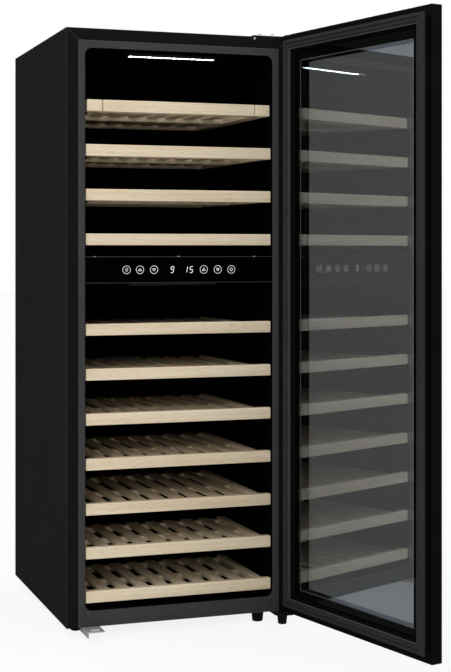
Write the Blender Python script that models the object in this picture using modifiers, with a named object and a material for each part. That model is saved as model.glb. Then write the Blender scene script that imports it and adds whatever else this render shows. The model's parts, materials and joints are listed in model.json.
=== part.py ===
"""Dual-zone wine cooler with its glass door open. Metres, +Z up.

Everything is laid out in the cabinet's own frame: x from its left side, y back from its front face,
z up from its underside. The door is drawn closed there, and then hangs open on its hinge. At the end
the whole cooler is moved so that its origin is at the bottom centre of its box, with the door open.
"""

import math

import bmesh
import bpy
from mathutils import Matrix, Vector

# Cabinet
WIDTH = 0.595
HEIGHT = 1.4974
DEPTH = 0.655
SHEET = 0.001
FRONT_FLANGE = 0.030
REAR_LIP = 0.012
GAP = 0.0003
MITRE_GAP = 0.0006
JOINT_OVERLAP = 0.001

# Liner and the space inside it
SIDE_WALL = 0.047
TOP_WALL = 0.049
BOTTOM_WALL = 0.040
REAR_SPACE = 0.060
CAVITY_RADIUS = 0.018
LINER_WALL = 0.002
LEDGE_REACH = 0.013
LEDGE_HEIGHT = 0.006
LEDGE_FRONT = 0.030

# Step in the liner over the compressor
HUMP_DEPTH = 0.210
HUMP_HEIGHT = 0.262
HUMP_FOAM = 0.030

# Shelves. Each height is that of the front rail's top edge
UPPER_COUNT = 4
UPPER_BELOW_CEILING = 0.1285
UPPER_ABOVE_PANEL = 0.0572
LOWER_COUNT = 5
LOWER_BELOW_PANEL = 0.1016
LOWER_ABOVE_HUMP = 0.0444
SHORT_COUNT = 2
SHORT_ABOVE_FLOOR = 0.0472
SHORT_PITCH = 0.1096
RAIL_HEIGHT = 0.029
RAIL_THICKNESS = 0.022
RAIL_SETBACK = 0.004
RAIL_SIDE_GAP = 0.003
RAIL_ROUNDING = 0.0015
TRAY_SIDE_GAP = 0.005
TRAY_BACK_GAP = 0.020
SHORT_TRAY_GAP = 0.013
SLAT_DROP = 0.012
SLAT_THICKNESS = 0.008
SLAT_WIDTH = 0.030
SLAT_PITCH = 0.052
SIDE_RAIL_WIDTH = 0.022
SIDE_RAIL_DROP = 0.010
WIDE_RAIL_WIDTH = 0.0405
TOP_TRAY_SIDE_GAP = 0.006
CROSS_BAR_DEPTH = 0.026
CROSS_BAR_COUNT = 3

# Zone divider, control panel and lamps
PANEL_BELOW_CEILING = 0.522
PANEL_HEIGHT = 0.068
PANEL_SETBACK = 0.002
PANEL_THICKNESS = 0.008
PANEL_SIDE_GAP = 0.0008
DIVIDER_STEP = 0.001
LAMP_LENGTH = 0.245
LAMP_WIDTH = 0.030
LAMP_THICKNESS = 0.008
LAMP_SETBACK = 0.065

# Air duct, evaporators and their fans
DUCT_SIDE_GAP = 0.0505
DUCT_DEPTH = 0.045
DUCT_WALL = 0.0025
DUCT_FOOT_GAP = 0.013
DUCT_HEAD_GAP = 0.013
DUCT_FAN_RADIUS = 0.045
DUCT_FAN_DEPTH = 0.014
DUCT_FAN_BELOW_CEILING = 0.150
DUCT_FAN_BELOW_DIVIDER = 0.150
FAN_TIP_GAP = 0.004
FAN_HUB_SHARE = 0.36
BLADE_COUNT = 7
BLADE_CHORD_SHARE = 0.46
BLADE_THICKNESS = 0.0022
BLADE_PITCH_DEG = 28.0
FAN_BOSS_SHARE = 0.30
FAN_BOSS_DEPTH = 0.006
FAN_ARM_HALF_WIDTH = 0.003
VENT_HEIGHT = 0.006
VENT_LENGTH = 0.110
VENT_PITCH = 0.016
EVAPORATOR_SIDE_GAP = 0.030
EVAPORATOR_DEPTH = 0.026
EVAPORATOR_HEIGHT = 0.090
EVAPORATOR_DROP = 0.030
FIN_PITCH = 0.020
FIN_SLOT = 0.012
FIN_SPINE = 0.008

# Machine compartment
COVER_THICKNESS = 0.0015
COVER_INSET = 0.0035
COVER_SLOT_HEIGHT = 0.006
COVER_SLOT_PITCH = 0.018
COVER_SLOT_MARGIN = 0.035
COMPRESSOR_SLOT_LENGTH = 0.190
CONDENSER_SLOT_LENGTH = 0.130
COMPRESSOR_INSET = 0.165
COMPRESSOR_RADIUS = 0.068
COMPRESSOR_HEIGHT = 0.165
COMPRESSOR_PLATE = (0.150, 0.140, 0.004)
POT_PROFILE = (
    (0.0, 1.0),
    (0.55, 0.985),
    (0.86, 0.92),
    (1.0, 0.80),
    (1.0, 0.14),
    (0.86, 0.05),
    (0.55, 0.012),
    (0.0, 0.012),
)
CONDENSER_X = 0.175
CONDENSER_SIZE = (0.150, 0.040, 0.160)
CONDENSER_FAN_RADIUS = 0.055
CONDENSER_FAN_DEPTH = 0.018
SHROUD_DEPTH = 0.028
SHROUD_WALL = 0.003
MACHINE_BACK_GAP = 0.018
INLET_SIZE = (0.030, 0.020, 0.024)
INLET_FLANGE = 0.0025
INLET_RIM = 0.004
INLET_X = 0.075
INLET_BELOW_HUMP = 0.082

# Door, drawn closed
DOOR_BOTTOM = 0.003
DOOR_ABOVE_CASING = 0.0025
DOOR_OPEN_DEG = 102.8
GASKET_DEPTH = 0.012
SLAB_THICKNESS = 0.030
OUTER_GLASS = 0.0048
INNER_GLASS = 0.004
PANE_GAP = 0.0107
PANE_RIB = 0.012
STILE_HINGE = 0.040
STILE_FREE = 0.052
STILE_ENDS = 0.044
GASKET_WIDTH = 0.025
GASKET_HINGE = 0.008
GASKET_FREE = 0.023
GASKET_ENDS = 0.014
GASKET_CLEARANCE = 0.0005
GRIP_WIDTH = 0.016
GRIP_EDGE = 0.004
GRIP_DEPTH = 0.014
GRIP_ENDS = 0.030
DOOR_ROUNDING = 0.0008

# Hinges
PIN_INSET = 0.009
PIN_RADIUS = 0.004
PIN_LENGTH = 0.015
PIN_CLEARANCE = 0.0003
BRACKET_THICKNESS = 0.004
BRACKET_BOSS = 0.008
BRACKET_REACH = 0.0155
LOWER_BRACKET_WIDTH = 0.049
LOWER_BRACKET_BACK = 0.050
LOWER_BRACKET_CORNER = 0.012
TOP_BRACKET_THICKNESS = 0.003
TOP_BRACKET_LENGTH = 0.099
TOP_BRACKET_FRONT = 0.001
TOP_BRACKET_BACK = 0.035
TONGUE_RADIUS = 0.0105
TONGUE_SIDE = 0.006
TONGUE_TO_GLASS = 0.0022
NOTCH_LENGTH = 0.030
NOTCH_DEPTH = 0.0034

# Loose corner bracket at the lower left
CORNER_BRACKET_X = 0.042
CORNER_BRACKET_WIDTH = 0.043
CORNER_BRACKET_FRONT = 0.050
CORNER_BRACKET_BACK = 0.030
CORNER_BRACKET_SHEET = 0.0025
CORNER_BRACKET_FLANGE = 0.015
CORNER_SLOT_LENGTH = 0.026
CORNER_SLOT_WIDTH = 0.012

# Feet, each as (name, x, y, radius at the top). A foot's profile is in shares of its radius and height
FOOT_HEIGHT = 0.027
FOOT_RADIUS = 0.016
HINGE_FOOT_RADIUS = 0.013
FOOT_PROFILE = (
    (0.0, 1.0),
    (1.0, 1.0),
    (1.0, 0.75),
    (0.88, 0.06),
    (0.83, 0.0),
    (0.0, 0.0),
)
FOOT_PLACES = (
    ("foot_front_left", 0.045, 0.090, FOOT_RADIUS),
    ("foot_front_right", WIDTH - 0.079, 0.026, FOOT_RADIUS),
    ("foot_rear_left", 0.060, DEPTH - 0.055, FOOT_RADIUS),
    ("foot_rear_right", WIDTH - 0.060, DEPTH - 0.055, FOOT_RADIUS),
    ("foot_hinge", WIDTH - 0.029, -0.024, HINGE_FOOT_RADIUS),
)
ROUND_STEPS = 24
RING_STEPS = 32

# Worked out from the sizes above
CAVITY_LEFT = SIDE_WALL
CAVITY_RIGHT = WIDTH - SIDE_WALL
CAVITY_TOP = HEIGHT - TOP_WALL
CAVITY_DEPTH = DEPTH - REAR_SPACE
HUMP_FRONT = CAVITY_DEPTH - HUMP_DEPTH
PANEL_TOP = CAVITY_TOP - PANEL_BELOW_CEILING
PANEL_BOTTOM = PANEL_TOP - PANEL_HEIGHT
MIDDLE = WIDTH / 2
DUCT_FRONT = CAVITY_DEPTH - DUCT_DEPTH
DUCT_LEFT = CAVITY_LEFT + DUCT_SIDE_GAP
DUCT_RIGHT = CAVITY_RIGHT - DUCT_SIDE_GAP
COMPRESSOR_X = WIDTH - COMPRESSOR_INSET
INLET_Z = HUMP_HEIGHT - INLET_BELOW_HUMP
REAR_PANEL_BACK = DEPTH - SHEET - GAP
REAR_PANEL_FRONT = REAR_PANEL_BACK - SHEET
GLASS_FACE = -(GASKET_DEPTH + SLAB_THICKNESS)
PIN_FORWARD = -(GLASS_FACE + OUTER_GLASS + TONGUE_TO_GLASS + TONGUE_RADIUS)
HINGE_AXIS = Vector((WIDTH - PIN_INSET, -PIN_FORWARD, 0.0))
FRAME_FRONT = GLASS_FACE + OUTER_GLASS + GAP
FRAME_BACK = -GASKET_DEPTH
INNER_PANE_FRONT = FRAME_FRONT + PANE_GAP
DOOR_TOP = HEIGHT + DOOR_ABOVE_CASING
CUT_MARGIN = 0.010


def clear_scene():
    for obj in list(bpy.data.objects):
        bpy.data.objects.remove(obj, do_unlink=True)


def new_collection(name):
    found = bpy.data.collections.new(name)
    bpy.context.scene.collection.children.link(found)
    return found


clear_scene()
PARTS = new_collection("wine_cooler")
TOOLS = new_collection("cutters")


def material(name, color, roughness, metallic=0.0, transmission=0.0):
    made = bpy.data.materials.new(name)
    made.use_nodes = True
    shader = made.node_tree.nodes["Principled BSDF"]
    shader.inputs["Base Color"].default_value = (*color, 1.0)
    shader.inputs["Roughness"].default_value = roughness
    shader.inputs["Metallic"].default_value = metallic
    shader.inputs["Transmission Weight"].default_value = transmission
    return made


CASING_PAINT = material("casing_black_paint", (0.012, 0.012, 0.013), 0.45)
LINER_PLASTIC = material("liner_black_plastic", (0.006, 0.006, 0.007), 0.5)
KICK_GREY = material("kick_panel_grey", (0.042, 0.042, 0.044), 0.45)
FOAM = material("insulation_foam", (0.75, 0.62, 0.38), 0.9)
ZINC_STEEL = material("zinc_plated_steel", (0.45, 0.45, 0.46), 0.35, 1.0)
MACHINE_BLACK = material("compressor_black_paint", (0.015, 0.015, 0.015), 0.4)
ALUMINIUM_FIN = material("aluminium_fins", (0.75, 0.76, 0.77), 0.3, 1.0)
MOULDED_BLACK = material("moulded_black_plastic", (0.010, 0.010, 0.011), 0.5)
PANEL_GLASS = material("control_panel_black_glass", (0.004, 0.004, 0.005), 0.08)
LAMP_DIFFUSER = material("lamp_diffuser", (0.9, 0.93, 1.0), 0.4)
BEECH = material("beech_wood", (0.62, 0.50, 0.34), 0.55)
DARK_GLASS = material("tinted_door_glass", (0.03, 0.03, 0.032), 0.03, 0.0, 0.8)
CLEAR_GLASS = material("inner_door_glass", (0.4, 0.42, 0.42), 0.03, 0.0, 0.9)
DOOR_PLASTIC = material("door_frame_black", (0.010, 0.010, 0.010), 0.35)
GASKET_RUBBER = material("gasket_grey_rubber", (0.035, 0.035, 0.037), 0.6)
HINGE_BLACK = material("hinge_black_paint", (0.012, 0.012, 0.012), 0.4, 0.2)
FOOT_PLASTIC = material("foot_black_plastic", (0.010, 0.010, 0.010), 0.55)


def add_object(name, mesh, location=(0.0, 0.0, 0.0)):
    made = bpy.data.objects.new(name, mesh)
    made.location = location
    PARTS.objects.link(made)
    return made


def add_empty(name, location, parent=None):
    made = bpy.data.objects.new(name, None)
    made.empty_display_size = 0.05
    made.location = location
    made.parent = parent
    PARTS.objects.link(made)
    return made


def finish(obj, surface, parent):
    """Gives a finished piece its material and hangs it on an empty that isn't turned yet."""
    obj.data.materials.clear()
    obj.data.materials.append(surface)
    obj.location = obj.location - place_of(parent)
    obj.parent = parent
    return obj


def place_of(empty):
    place = Vector(empty.location)
    while empty.parent:
        empty = empty.parent
        place = place + empty.location
    return place


def add_cube(mesh_build, low, high):
    """A cube whose corners lie exactly on the given levels, so that neighbours share their planes exactly."""
    for vertex in bmesh.ops.create_cube(mesh_build, size=1.0)["verts"]:
        vertex.co = [top if at > 0 else bottom for at, bottom, top in zip(vertex.co, low, high)]


def blocks(name, pairs):
    """One object of several blocks, each between two opposite corners."""
    build = bmesh.new()
    for one, other in pairs:
        add_cube(build, tuple(map(min, one, other)), tuple(map(max, one, other)))
    mesh = bpy.data.meshes.new(name)
    build.to_mesh(mesh)
    build.free()
    return add_object(name, mesh)


def block(name, one, other):
    """A block between two opposite corners."""
    return blocks(name, [(one, other)])


def cylinder(name, centre, radius, length, axis="Z", steps=ROUND_STEPS):
    turn = {"Z": Matrix(), "Y": Matrix.Rotation(math.pi / 2, 4, "X")}[axis]
    build = bmesh.new()
    bmesh.ops.create_cone(
        build,
        cap_ends=True,
        segments=steps,
        radius1=radius,
        radius2=radius,
        depth=length,
        matrix=turn,
    )
    mesh = bpy.data.meshes.new(name)
    build.to_mesh(mesh)
    build.free()
    mesh.shade_smooth()
    mesh.set_sharp_from_angle(angle=math.radians(40))
    return add_object(name, mesh, centre)


def turned(name, profile, place):
    """A solid of revolution. The profile goes from the axis at the top, down the outside, to the axis again."""
    mesh = bpy.data.meshes.new(name)
    points = [(radius, 0.0, height) for radius, height in profile]
    mesh.from_pydata(points, [(i, i + 1) for i in range(len(points) - 1)], [])
    made = add_object(name, mesh, place)
    screw = made.modifiers.new("turn", "SCREW")
    screw.steps = ROUND_STEPS
    screw.render_steps = ROUND_STEPS
    screw.use_merge_vertices = True
    screw.merge_threshold = 0.00001
    screw.use_smooth_shade = True
    return made


def outline(name, points, low, high, plane="XZ"):
    """A flat outline in a plane, made solid between two levels of the third axis."""
    curve = bpy.data.curves.new(name, "CURVE")
    curve.dimensions = "2D"
    curve.fill_mode = "BOTH"
    curve.extrude = (high - low) / 2
    spline = curve.splines.new("POLY")
    spline.points.add(len(points) - 1)
    spline.use_cyclic_u = True
    for target, (across, along) in zip(spline.points, points):
        target.co = (across, along, 0.0, 1.0)
    made = add_object(name, curve)
    mesh = mesh_of(made)
    bpy.data.objects.remove(made)
    first, second = ("XYZ".index(letter) for letter in plane)
    level = 3 - first - second
    for vertex in mesh.vertices:
        across, along, side = vertex.co
        place = [0.0, 0.0, 0.0]
        place[first], place[second], place[level] = across, along, high if side > 0 else low
        vertex.co = place
    face_outwards(mesh)
    return add_object(name, mesh)


def face_outwards(mesh):
    build = bmesh.new()
    build.from_mesh(mesh)
    bmesh.ops.remove_doubles(build, verts=build.verts, dist=0.000001)
    bmesh.ops.recalc_face_normals(build, faces=build.faces)
    build.to_mesh(mesh)
    build.free()


def mesh_of(obj):
    """The object's shape with its modifiers, as a new closed mesh that faces outwards."""
    bpy.context.view_layer.update()
    graph = bpy.context.evaluated_depsgraph_get()
    mesh = bpy.data.meshes.new_from_object(obj.evaluated_get(graph))
    face_outwards(mesh)
    return mesh


def shape(target, tool, operation):
    """Cuts the tool from the target or joins it on, and lets the tool move with the target."""
    modifier = target.modifiers.new(tool.name, "BOOLEAN")
    modifier.operation = operation
    modifier.solver = "EXACT"
    modifier.object = tool
    PARTS.objects.unlink(tool)
    TOOLS.objects.link(tool)
    tool.hide_render = True
    tool.display_type = "WIRE"
    tool.parent = target
    tool.matrix_parent_inverse = target.matrix_basis.inverted()
    return target


def cut(target, tool):
    return shape(target, tool, "DIFFERENCE")


def join(target, tool):
    return shape(target, tool, "UNION")


def round_edges(obj, width, segments):
    bevel = obj.modifiers.new("rounding", "BEVEL")
    bevel.width = width
    bevel.segments = segments
    bevel.limit_method = "ANGLE"
    bevel.angle_limit = math.radians(40)
    return obj


def rounded_rectangle(left, bottom, right, top, radius, steps=5):
    """The corners of a rectangle with round corners, as (across, along)."""
    points = []
    centres = (
        (right - radius, top - radius),
        (left + radius, top - radius),
        (left + radius, bottom + radius),
        (right - radius, bottom + radius),
    )
    for quarter, (across, along) in enumerate(centres):
        for step in range(steps + 1):
            angle = (quarter + step / steps) * math.pi / 2
            points.append((across + radius * math.cos(angle), along + radius * math.sin(angle)))
    return points


# --- Casing ---------------------------------------------------------------------------------------


def mitre_space(name, across, offset):
    """What a 45 degree mitre takes off a flange, at an offset below the line through the top corner."""
    reach = FRONT_FLANGE + CUT_MARGIN
    start = HEIGHT - offset
    points = [
        (across(-CUT_MARGIN), start + CUT_MARGIN),
        (across(reach), start - reach),
        (across(reach), start + 2 * CUT_MARGIN),
        (across(-CUT_MARGIN), start + 2 * CUT_MARGIN),
    ]
    return outline(name, points, -CUT_MARGIN, SHEET * 1.5)


def side_panel(name, across, parent):
    """A folded sheet with a mitred front flange and a rear lip. across turns a distance inwards into x."""
    profile = [
        (across(0.0), 0.0),
        (across(FRONT_FLANGE), 0.0),
        (across(FRONT_FLANGE), SHEET),
        (across(SHEET), SHEET),
        (across(SHEET), DEPTH - SHEET),
        (across(REAR_LIP), DEPTH - SHEET),
        (across(REAR_LIP), DEPTH),
        (across(0.0), DEPTH),
    ]
    panel = outline(name, profile, 0.0, HEIGHT, "XY")
    cut(panel, mitre_space(name + "_mitre", across, MITRE_GAP))
    return finish(panel, CASING_PAINT, parent)


def top_panel(parent):
    side = SHEET + GAP
    profile = [
        (0.0, HEIGHT),
        (0.0, HEIGHT - FRONT_FLANGE),
        (SHEET, HEIGHT - FRONT_FLANGE),
        (SHEET, HEIGHT - SHEET),
        (REAR_PANEL_FRONT - GAP, HEIGHT - SHEET),
        (REAR_PANEL_FRONT - GAP, HEIGHT),
    ]
    panel = outline("top_panel", profile, side, WIDTH - side, "YZ")
    reach = FRONT_FLANGE + CUT_MARGIN
    for corner, inward in ((0.0, 1), (WIDTH, -1)):
        points = [
            (corner - inward * CUT_MARGIN, HEIGHT + CUT_MARGIN),
            (corner + inward * reach, HEIGHT - reach),
            (corner - inward * CUT_MARGIN, HEIGHT - reach),
        ]
        cut(panel, outline("top_panel_mitre", points, -CUT_MARGIN, SHEET * 1.5))
    return finish(panel, CASING_PAINT, parent)


def rear_panel(parent):
    side = SHEET + GAP
    low = (side, REAR_PANEL_FRONT, HUMP_HEIGHT - LINER_WALL - HUMP_FOAM)
    panel = block("rear_panel", low, (WIDTH - side, REAR_PANEL_BACK, HEIGHT - SHEET - GAP))
    return finish(panel, ZINC_STEEL, parent)


def base_pan(parent):
    side = SHEET + GAP
    pan = block("base_pan", (side, LINER_WALL + GAP, 0.0), (WIDTH - side, REAR_PANEL_BACK, SHEET))
    return finish(pan, ZINC_STEEL, parent)


def kick_panel(parent):
    left, right = CAVITY_LEFT + GAP, CAVITY_RIGHT - GAP
    top = BOTTOM_WALL - LINER_WALL - 2 * GAP
    panel = block("kick_panel", (left, 0.0, 0.0), (right, SHEET, top))
    return finish(panel, KICK_GREY, parent)


# --- Liner and insulation -------------------------------------------------------------------------


def cavity_shape(name, grow, front):
    """The space inside the liner, or the liner's outside where grow is its wall."""
    points = rounded_rectangle(
        CAVITY_LEFT - grow,
        BOTTOM_WALL - grow,
        CAVITY_RIGHT + grow,
        CAVITY_TOP + grow,
        CAVITY_RADIUS + grow,
    )
    body = outline(name, points, front, CAVITY_DEPTH + grow)
    step = block(
        name + "_step",
        (CAVITY_LEFT - CUT_MARGIN, HUMP_FRONT + grow, 0.0),
        (CAVITY_RIGHT + CUT_MARGIN, CAVITY_DEPTH + CUT_MARGIN, HUMP_HEIGHT - grow),
    )
    return cut(body, step)


def shelf_tops():
    """(height of the front rail's top edge, is the shelf a short one) for each shelf, from the top down."""
    rows = (
        (CAVITY_TOP - UPPER_BELOW_CEILING, PANEL_TOP + UPPER_ABOVE_PANEL, UPPER_COUNT),
        (PANEL_BOTTOM - LOWER_BELOW_PANEL, HUMP_HEIGHT + LOWER_ABOVE_HUMP, LOWER_COUNT),
    )
    tops = []
    for highest, lowest, count in rows:
        pitch = (highest - lowest) / (count - 1)
        tops += [(highest - index * pitch, False) for index in range(count)]
    for index in reversed(range(SHORT_COUNT)):
        tops.append((BOTTOM_WALL + SHORT_ABOVE_FLOOR + index * SHORT_PITCH, True))
    return tops


def tray_back(short):
    return HUMP_FRONT - SHORT_TRAY_GAP if short else DUCT_FRONT - TRAY_BACK_GAP


def ledges():
    """The ridges moulded in the liner's sides, which carry the shelves."""
    found = []
    for top, short in shelf_tops():
        high = top - RAIL_HEIGHT - GAP
        low = high - LEDGE_HEIGHT
        back = tray_back(short) - CUT_MARGIN
        for wall, inward in ((CAVITY_LEFT, 1), (CAVITY_RIGHT, -1)):
            start = wall - inward * LINER_WALL / 2
            end = wall + inward * LEDGE_REACH
            found.append(((start, LEDGE_FRONT, low), (end, back, high)))
    return blocks("liner_ledges", found)


def inner_liner(parent):
    liner = cavity_shape("inner_liner", LINER_WALL, 0.0)
    flange_edge = FRONT_FLANGE + GAP
    flange = block(
        "liner_flange",
        (flange_edge, 0.0, 0.0),
        (WIDTH - flange_edge, LINER_WALL, HEIGHT - flange_edge),
    )
    join(liner, flange)
    kick_space = block(
        "liner_kick_space",
        (CAVITY_LEFT, -CUT_MARGIN, -CUT_MARGIN),
        (CAVITY_RIGHT, LINER_WALL + GAP, BOTTOM_WALL - LINER_WALL - GAP),
    )
    cut(liner, kick_space)
    inside = cavity_shape("liner_inside", 0.0, -CUT_MARGIN)
    cut(liner, cut(inside, ledges()))
    return finish(liner, LINER_PLASTIC, parent)


def insulation(parent):
    """Foam slabs between the casing and the liner, one for each wall, and one stepped slab under and behind."""
    skin = SHEET + GAP
    wall = LINER_WALL + GAP
    front, back = LINER_WALL + GAP, REAR_PANEL_FRONT - GAP
    inner_left, inner_right = CAVITY_LEFT - wall, CAVITY_RIGHT + wall
    inner_top, inner_bottom = CAVITY_TOP + wall, BOTTOM_WALL - wall
    ceiling = HEIGHT - skin
    step_top, step_front = HUMP_HEIGHT - wall, HUMP_FRONT + wall
    machine_top = step_top - HUMP_FOAM
    machine_front = step_front + HUMP_FOAM
    slabs = {
        "insulation_left": ((skin, front, skin), (inner_left, back, ceiling)),
        "insulation_right": ((inner_right, front, skin), (WIDTH - skin, back, ceiling)),
        "insulation_top": (
            (inner_left + GAP, front, inner_top),
            (inner_right - GAP, back, ceiling),
        ),
        "insulation_rear": (
            (inner_left + GAP, CAVITY_DEPTH + wall, step_top + GAP),
            (inner_right - GAP, back, inner_top - GAP),
        ),
    }
    for name, (low, high) in slabs.items():
        finish(block(name, low, high), FOAM, parent)
    left, right = inner_left + GAP, inner_right - GAP
    base = block("insulation_base", (left, front, skin), (right, machine_front, inner_bottom))
    join(base, block("base_riser", (left, step_front, skin), (right, machine_front, step_top)))
    join(base, block("base_step", (left, step_front, machine_top), (right, back, step_top)))
    finish(base, FOAM, parent)


# --- Zone divider, control panel and lamps --------------------------------------------------------


def zone_divider(parent):
    divider = block(
        "zone_divider",
        (CAVITY_LEFT + GAP, PANEL_SETBACK + PANEL_THICKNESS + GAP, PANEL_BOTTOM + DIVIDER_STEP),
        (CAVITY_RIGHT - GAP, DUCT_FRONT - GAP, PANEL_TOP - DIVIDER_STEP),
    )
    finish(divider, MOULDED_BLACK, parent)
    panel = block(
        "control_panel",
        (CAVITY_LEFT + PANEL_SIDE_GAP, PANEL_SETBACK, PANEL_BOTTOM),
        (CAVITY_RIGHT - PANEL_SIDE_GAP, PANEL_SETBACK + PANEL_THICKNESS, PANEL_TOP),
    )
    round_edges(panel, DOOR_ROUNDING, 1)
    finish(panel, PANEL_GLASS, parent)


def lamp(name, ceiling, parent):
    half = LAMP_LENGTH / 2
    bar = block(
        name,
        (MIDDLE - half, LAMP_SETBACK, ceiling - GAP - LAMP_THICKNESS),
        (MIDDLE + half, LAMP_SETBACK + LAMP_WIDTH, ceiling - GAP),
    )
    round_edges(bar, LAMP_THICKNESS / 4, 2)
    return finish(bar, LAMP_DIFFUSER, parent)


# --- Fans and heat exchangers ---------------------------------------------------------------------


def fan_rotor(name, centre, radius, depth, parent):
    """A hub with pitched blades that turns about y. Its origin is on its axis."""
    hub_radius = radius * FAN_HUB_SHARE
    rotor = cylinder(name, centre, hub_radius, depth, "Y")
    build = bmesh.new()
    root = hub_radius * 0.8
    chord = radius * BLADE_CHORD_SHARE
    for index in range(BLADE_COUNT):
        spin = Matrix.Rotation(index * math.tau / BLADE_COUNT, 4, "Y")
        pitch = Matrix.Rotation(math.radians(BLADE_PITCH_DEG), 4, "X")
        reach = Matrix.Translation(((root + radius) / 2, 0.0, 0.0))
        size = Matrix.Diagonal((radius - root, BLADE_THICKNESS, chord, 1.0))
        bmesh.ops.create_cube(build, size=1.0, matrix=spin @ reach @ pitch @ size)
    mesh = bpy.data.meshes.new(name + "_blades")
    build.to_mesh(mesh)
    build.free()
    join(rotor, add_object(name + "_blades", mesh, centre))
    return finish(rotor, MOULDED_BLACK, parent)


def fan_seat(target, name, centre, radius, front, rotor_back):
    """A ring round a fan's opening, and a motor boss on four arms that the rotor turns on."""
    back = rotor_back + FAN_BOSS_DEPTH
    length = back - front
    middle = Vector((centre.x, (front + back) / 2, centre.z))
    opening = radius + FAN_TIP_GAP
    ring = cylinder(name + "_ring", middle, opening + SHROUD_WALL, length, "Y", RING_STEPS)
    join(target, ring)
    through = length + 2 * CUT_MARGIN
    cut(target, cylinder(name + "_opening", middle, opening, through, "Y", RING_STEPS))
    arm = FAN_ARM_HALF_WIDTH
    reach = opening + SHROUD_WALL / 2
    for label, wide, tall in (("_arm", reach, arm), ("_cross_arm", arm, reach)):
        low = (middle.x - wide, back - arm, middle.z - tall)
        join(target, block(name + label, low, (middle.x + wide, back, middle.z + tall)))
    boss_front = rotor_back + GAP
    boss_middle = Vector((middle.x, (boss_front + back) / 2, middle.z))
    boss_radius = radius * FAN_BOSS_SHARE
    join(target, cylinder(name + "_boss", boss_middle, boss_radius, back - boss_front, "Y"))


def fin_block(name, low, high):
    """A heat exchanger: a finned block with slots from the front, and a solid spine at the back."""
    low, high = Vector(low), Vector(high)
    body = block(name, low, high)
    count = int((high.x - low.x - FIN_SLOT) / FIN_PITCH)
    first = (low.x + high.x) / 2 - (count - 1) * FIN_PITCH / 2
    slots = []
    for index in range(count):
        middle = first + index * FIN_PITCH
        one = (middle - FIN_SLOT / 2, low.y - CUT_MARGIN, low.z - CUT_MARGIN)
        other = (middle + FIN_SLOT / 2, high.y - FIN_SPINE, high.z + CUT_MARGIN)
        slots.append((one, other))
    return cut(body, blocks(name + "_slots", slots))


def duct_fan_heights():
    return (
        ("fan_upper", CAVITY_TOP - DUCT_FAN_BELOW_CEILING),
        ("fan_lower", PANEL_BOTTOM - DUCT_FAN_BELOW_DIVIDER),
    )


def vents_round(height):
    """Two air slots above a duct fan and two below it, as pairs of corners."""
    found = []
    for row in (-2, -1, 1, 2):
        side = 1 if row > 0 else -1
        middle = height + side * DUCT_FAN_RADIUS + row * VENT_PITCH
        one = (MIDDLE - VENT_LENGTH / 2, DUCT_FRONT - CUT_MARGIN, middle - VENT_HEIGHT / 2)
        other_y = DUCT_FRONT + DUCT_WALL + CUT_MARGIN
        found.append((one, (MIDDLE + VENT_LENGTH / 2, other_y, middle + VENT_HEIGHT / 2)))
    return found


def duct_cover(parent):
    """The cover of the air duct on the back wall, open at its back, with two fan seats and air vents."""
    bottom, top = HUMP_HEIGHT + DUCT_FOOT_GAP, CAVITY_TOP - DUCT_HEAD_GAP
    back = CAVITY_DEPTH - GAP
    cover = block("duct_cover", (DUCT_LEFT, DUCT_FRONT, bottom), (DUCT_RIGHT, back, top))
    inside = block(
        "duct_inside",
        (DUCT_LEFT + DUCT_WALL, DUCT_FRONT + DUCT_WALL, bottom + DUCT_WALL),
        (DUCT_RIGHT - DUCT_WALL, back + CUT_MARGIN, top - DUCT_WALL),
    )
    cut(cover, inside)
    vents = [pair for _, height in duct_fan_heights() for pair in vents_round(height)]
    cut(cover, blocks("duct_vents", vents))
    rotor_back = DUCT_FRONT + DUCT_WALL + DUCT_FAN_DEPTH
    seat_front = DUCT_FRONT + DUCT_WALL / 2
    for name, height in duct_fan_heights():
        centre = Vector((MIDDLE, 0.0, height))
        fan_seat(cover, name, centre, DUCT_FAN_RADIUS, seat_front, rotor_back)
    return finish(cover, MOULDED_BLACK, parent)


def evaporator(name, top, parent):
    side = DUCT_LEFT + EVAPORATOR_SIDE_GAP
    back = CAVITY_DEPTH - GAP
    low = (side, back - EVAPORATOR_DEPTH, top - EVAPORATOR_HEIGHT)
    return finish(fin_block(name, low, (WIDTH - side, back, top)), ALUMINIUM_FIN, parent)


# --- Machine compartment --------------------------------------------------------------------------


def machine_back():
    """How far back the pieces in the machine compartment reach."""
    return DEPTH - COVER_INSET - COVER_THICKNESS - MACHINE_BACK_GAP


def compressor(parent):
    """A pot-shaped hermetic compressor on its mounting plate."""
    radius, height = COMPRESSOR_RADIUS, COMPRESSOR_HEIGHT
    centre_y = machine_back() - radius
    foot = SHEET + GAP
    wide, deep, thick = COMPRESSOR_PLATE
    profile = [(across * radius, along * height) for across, along in POT_PROFILE]
    pot = turned("compressor", profile, (COMPRESSOR_X, centre_y, foot))
    plate = block(
        "compressor_plate",
        (COMPRESSOR_X - wide / 2, centre_y - deep / 2, foot),
        (COMPRESSOR_X + wide / 2, centre_y + deep / 2, foot + thick),
    )
    join(pot, plate)
    return finish(pot, MACHINE_BLACK, parent)


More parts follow.
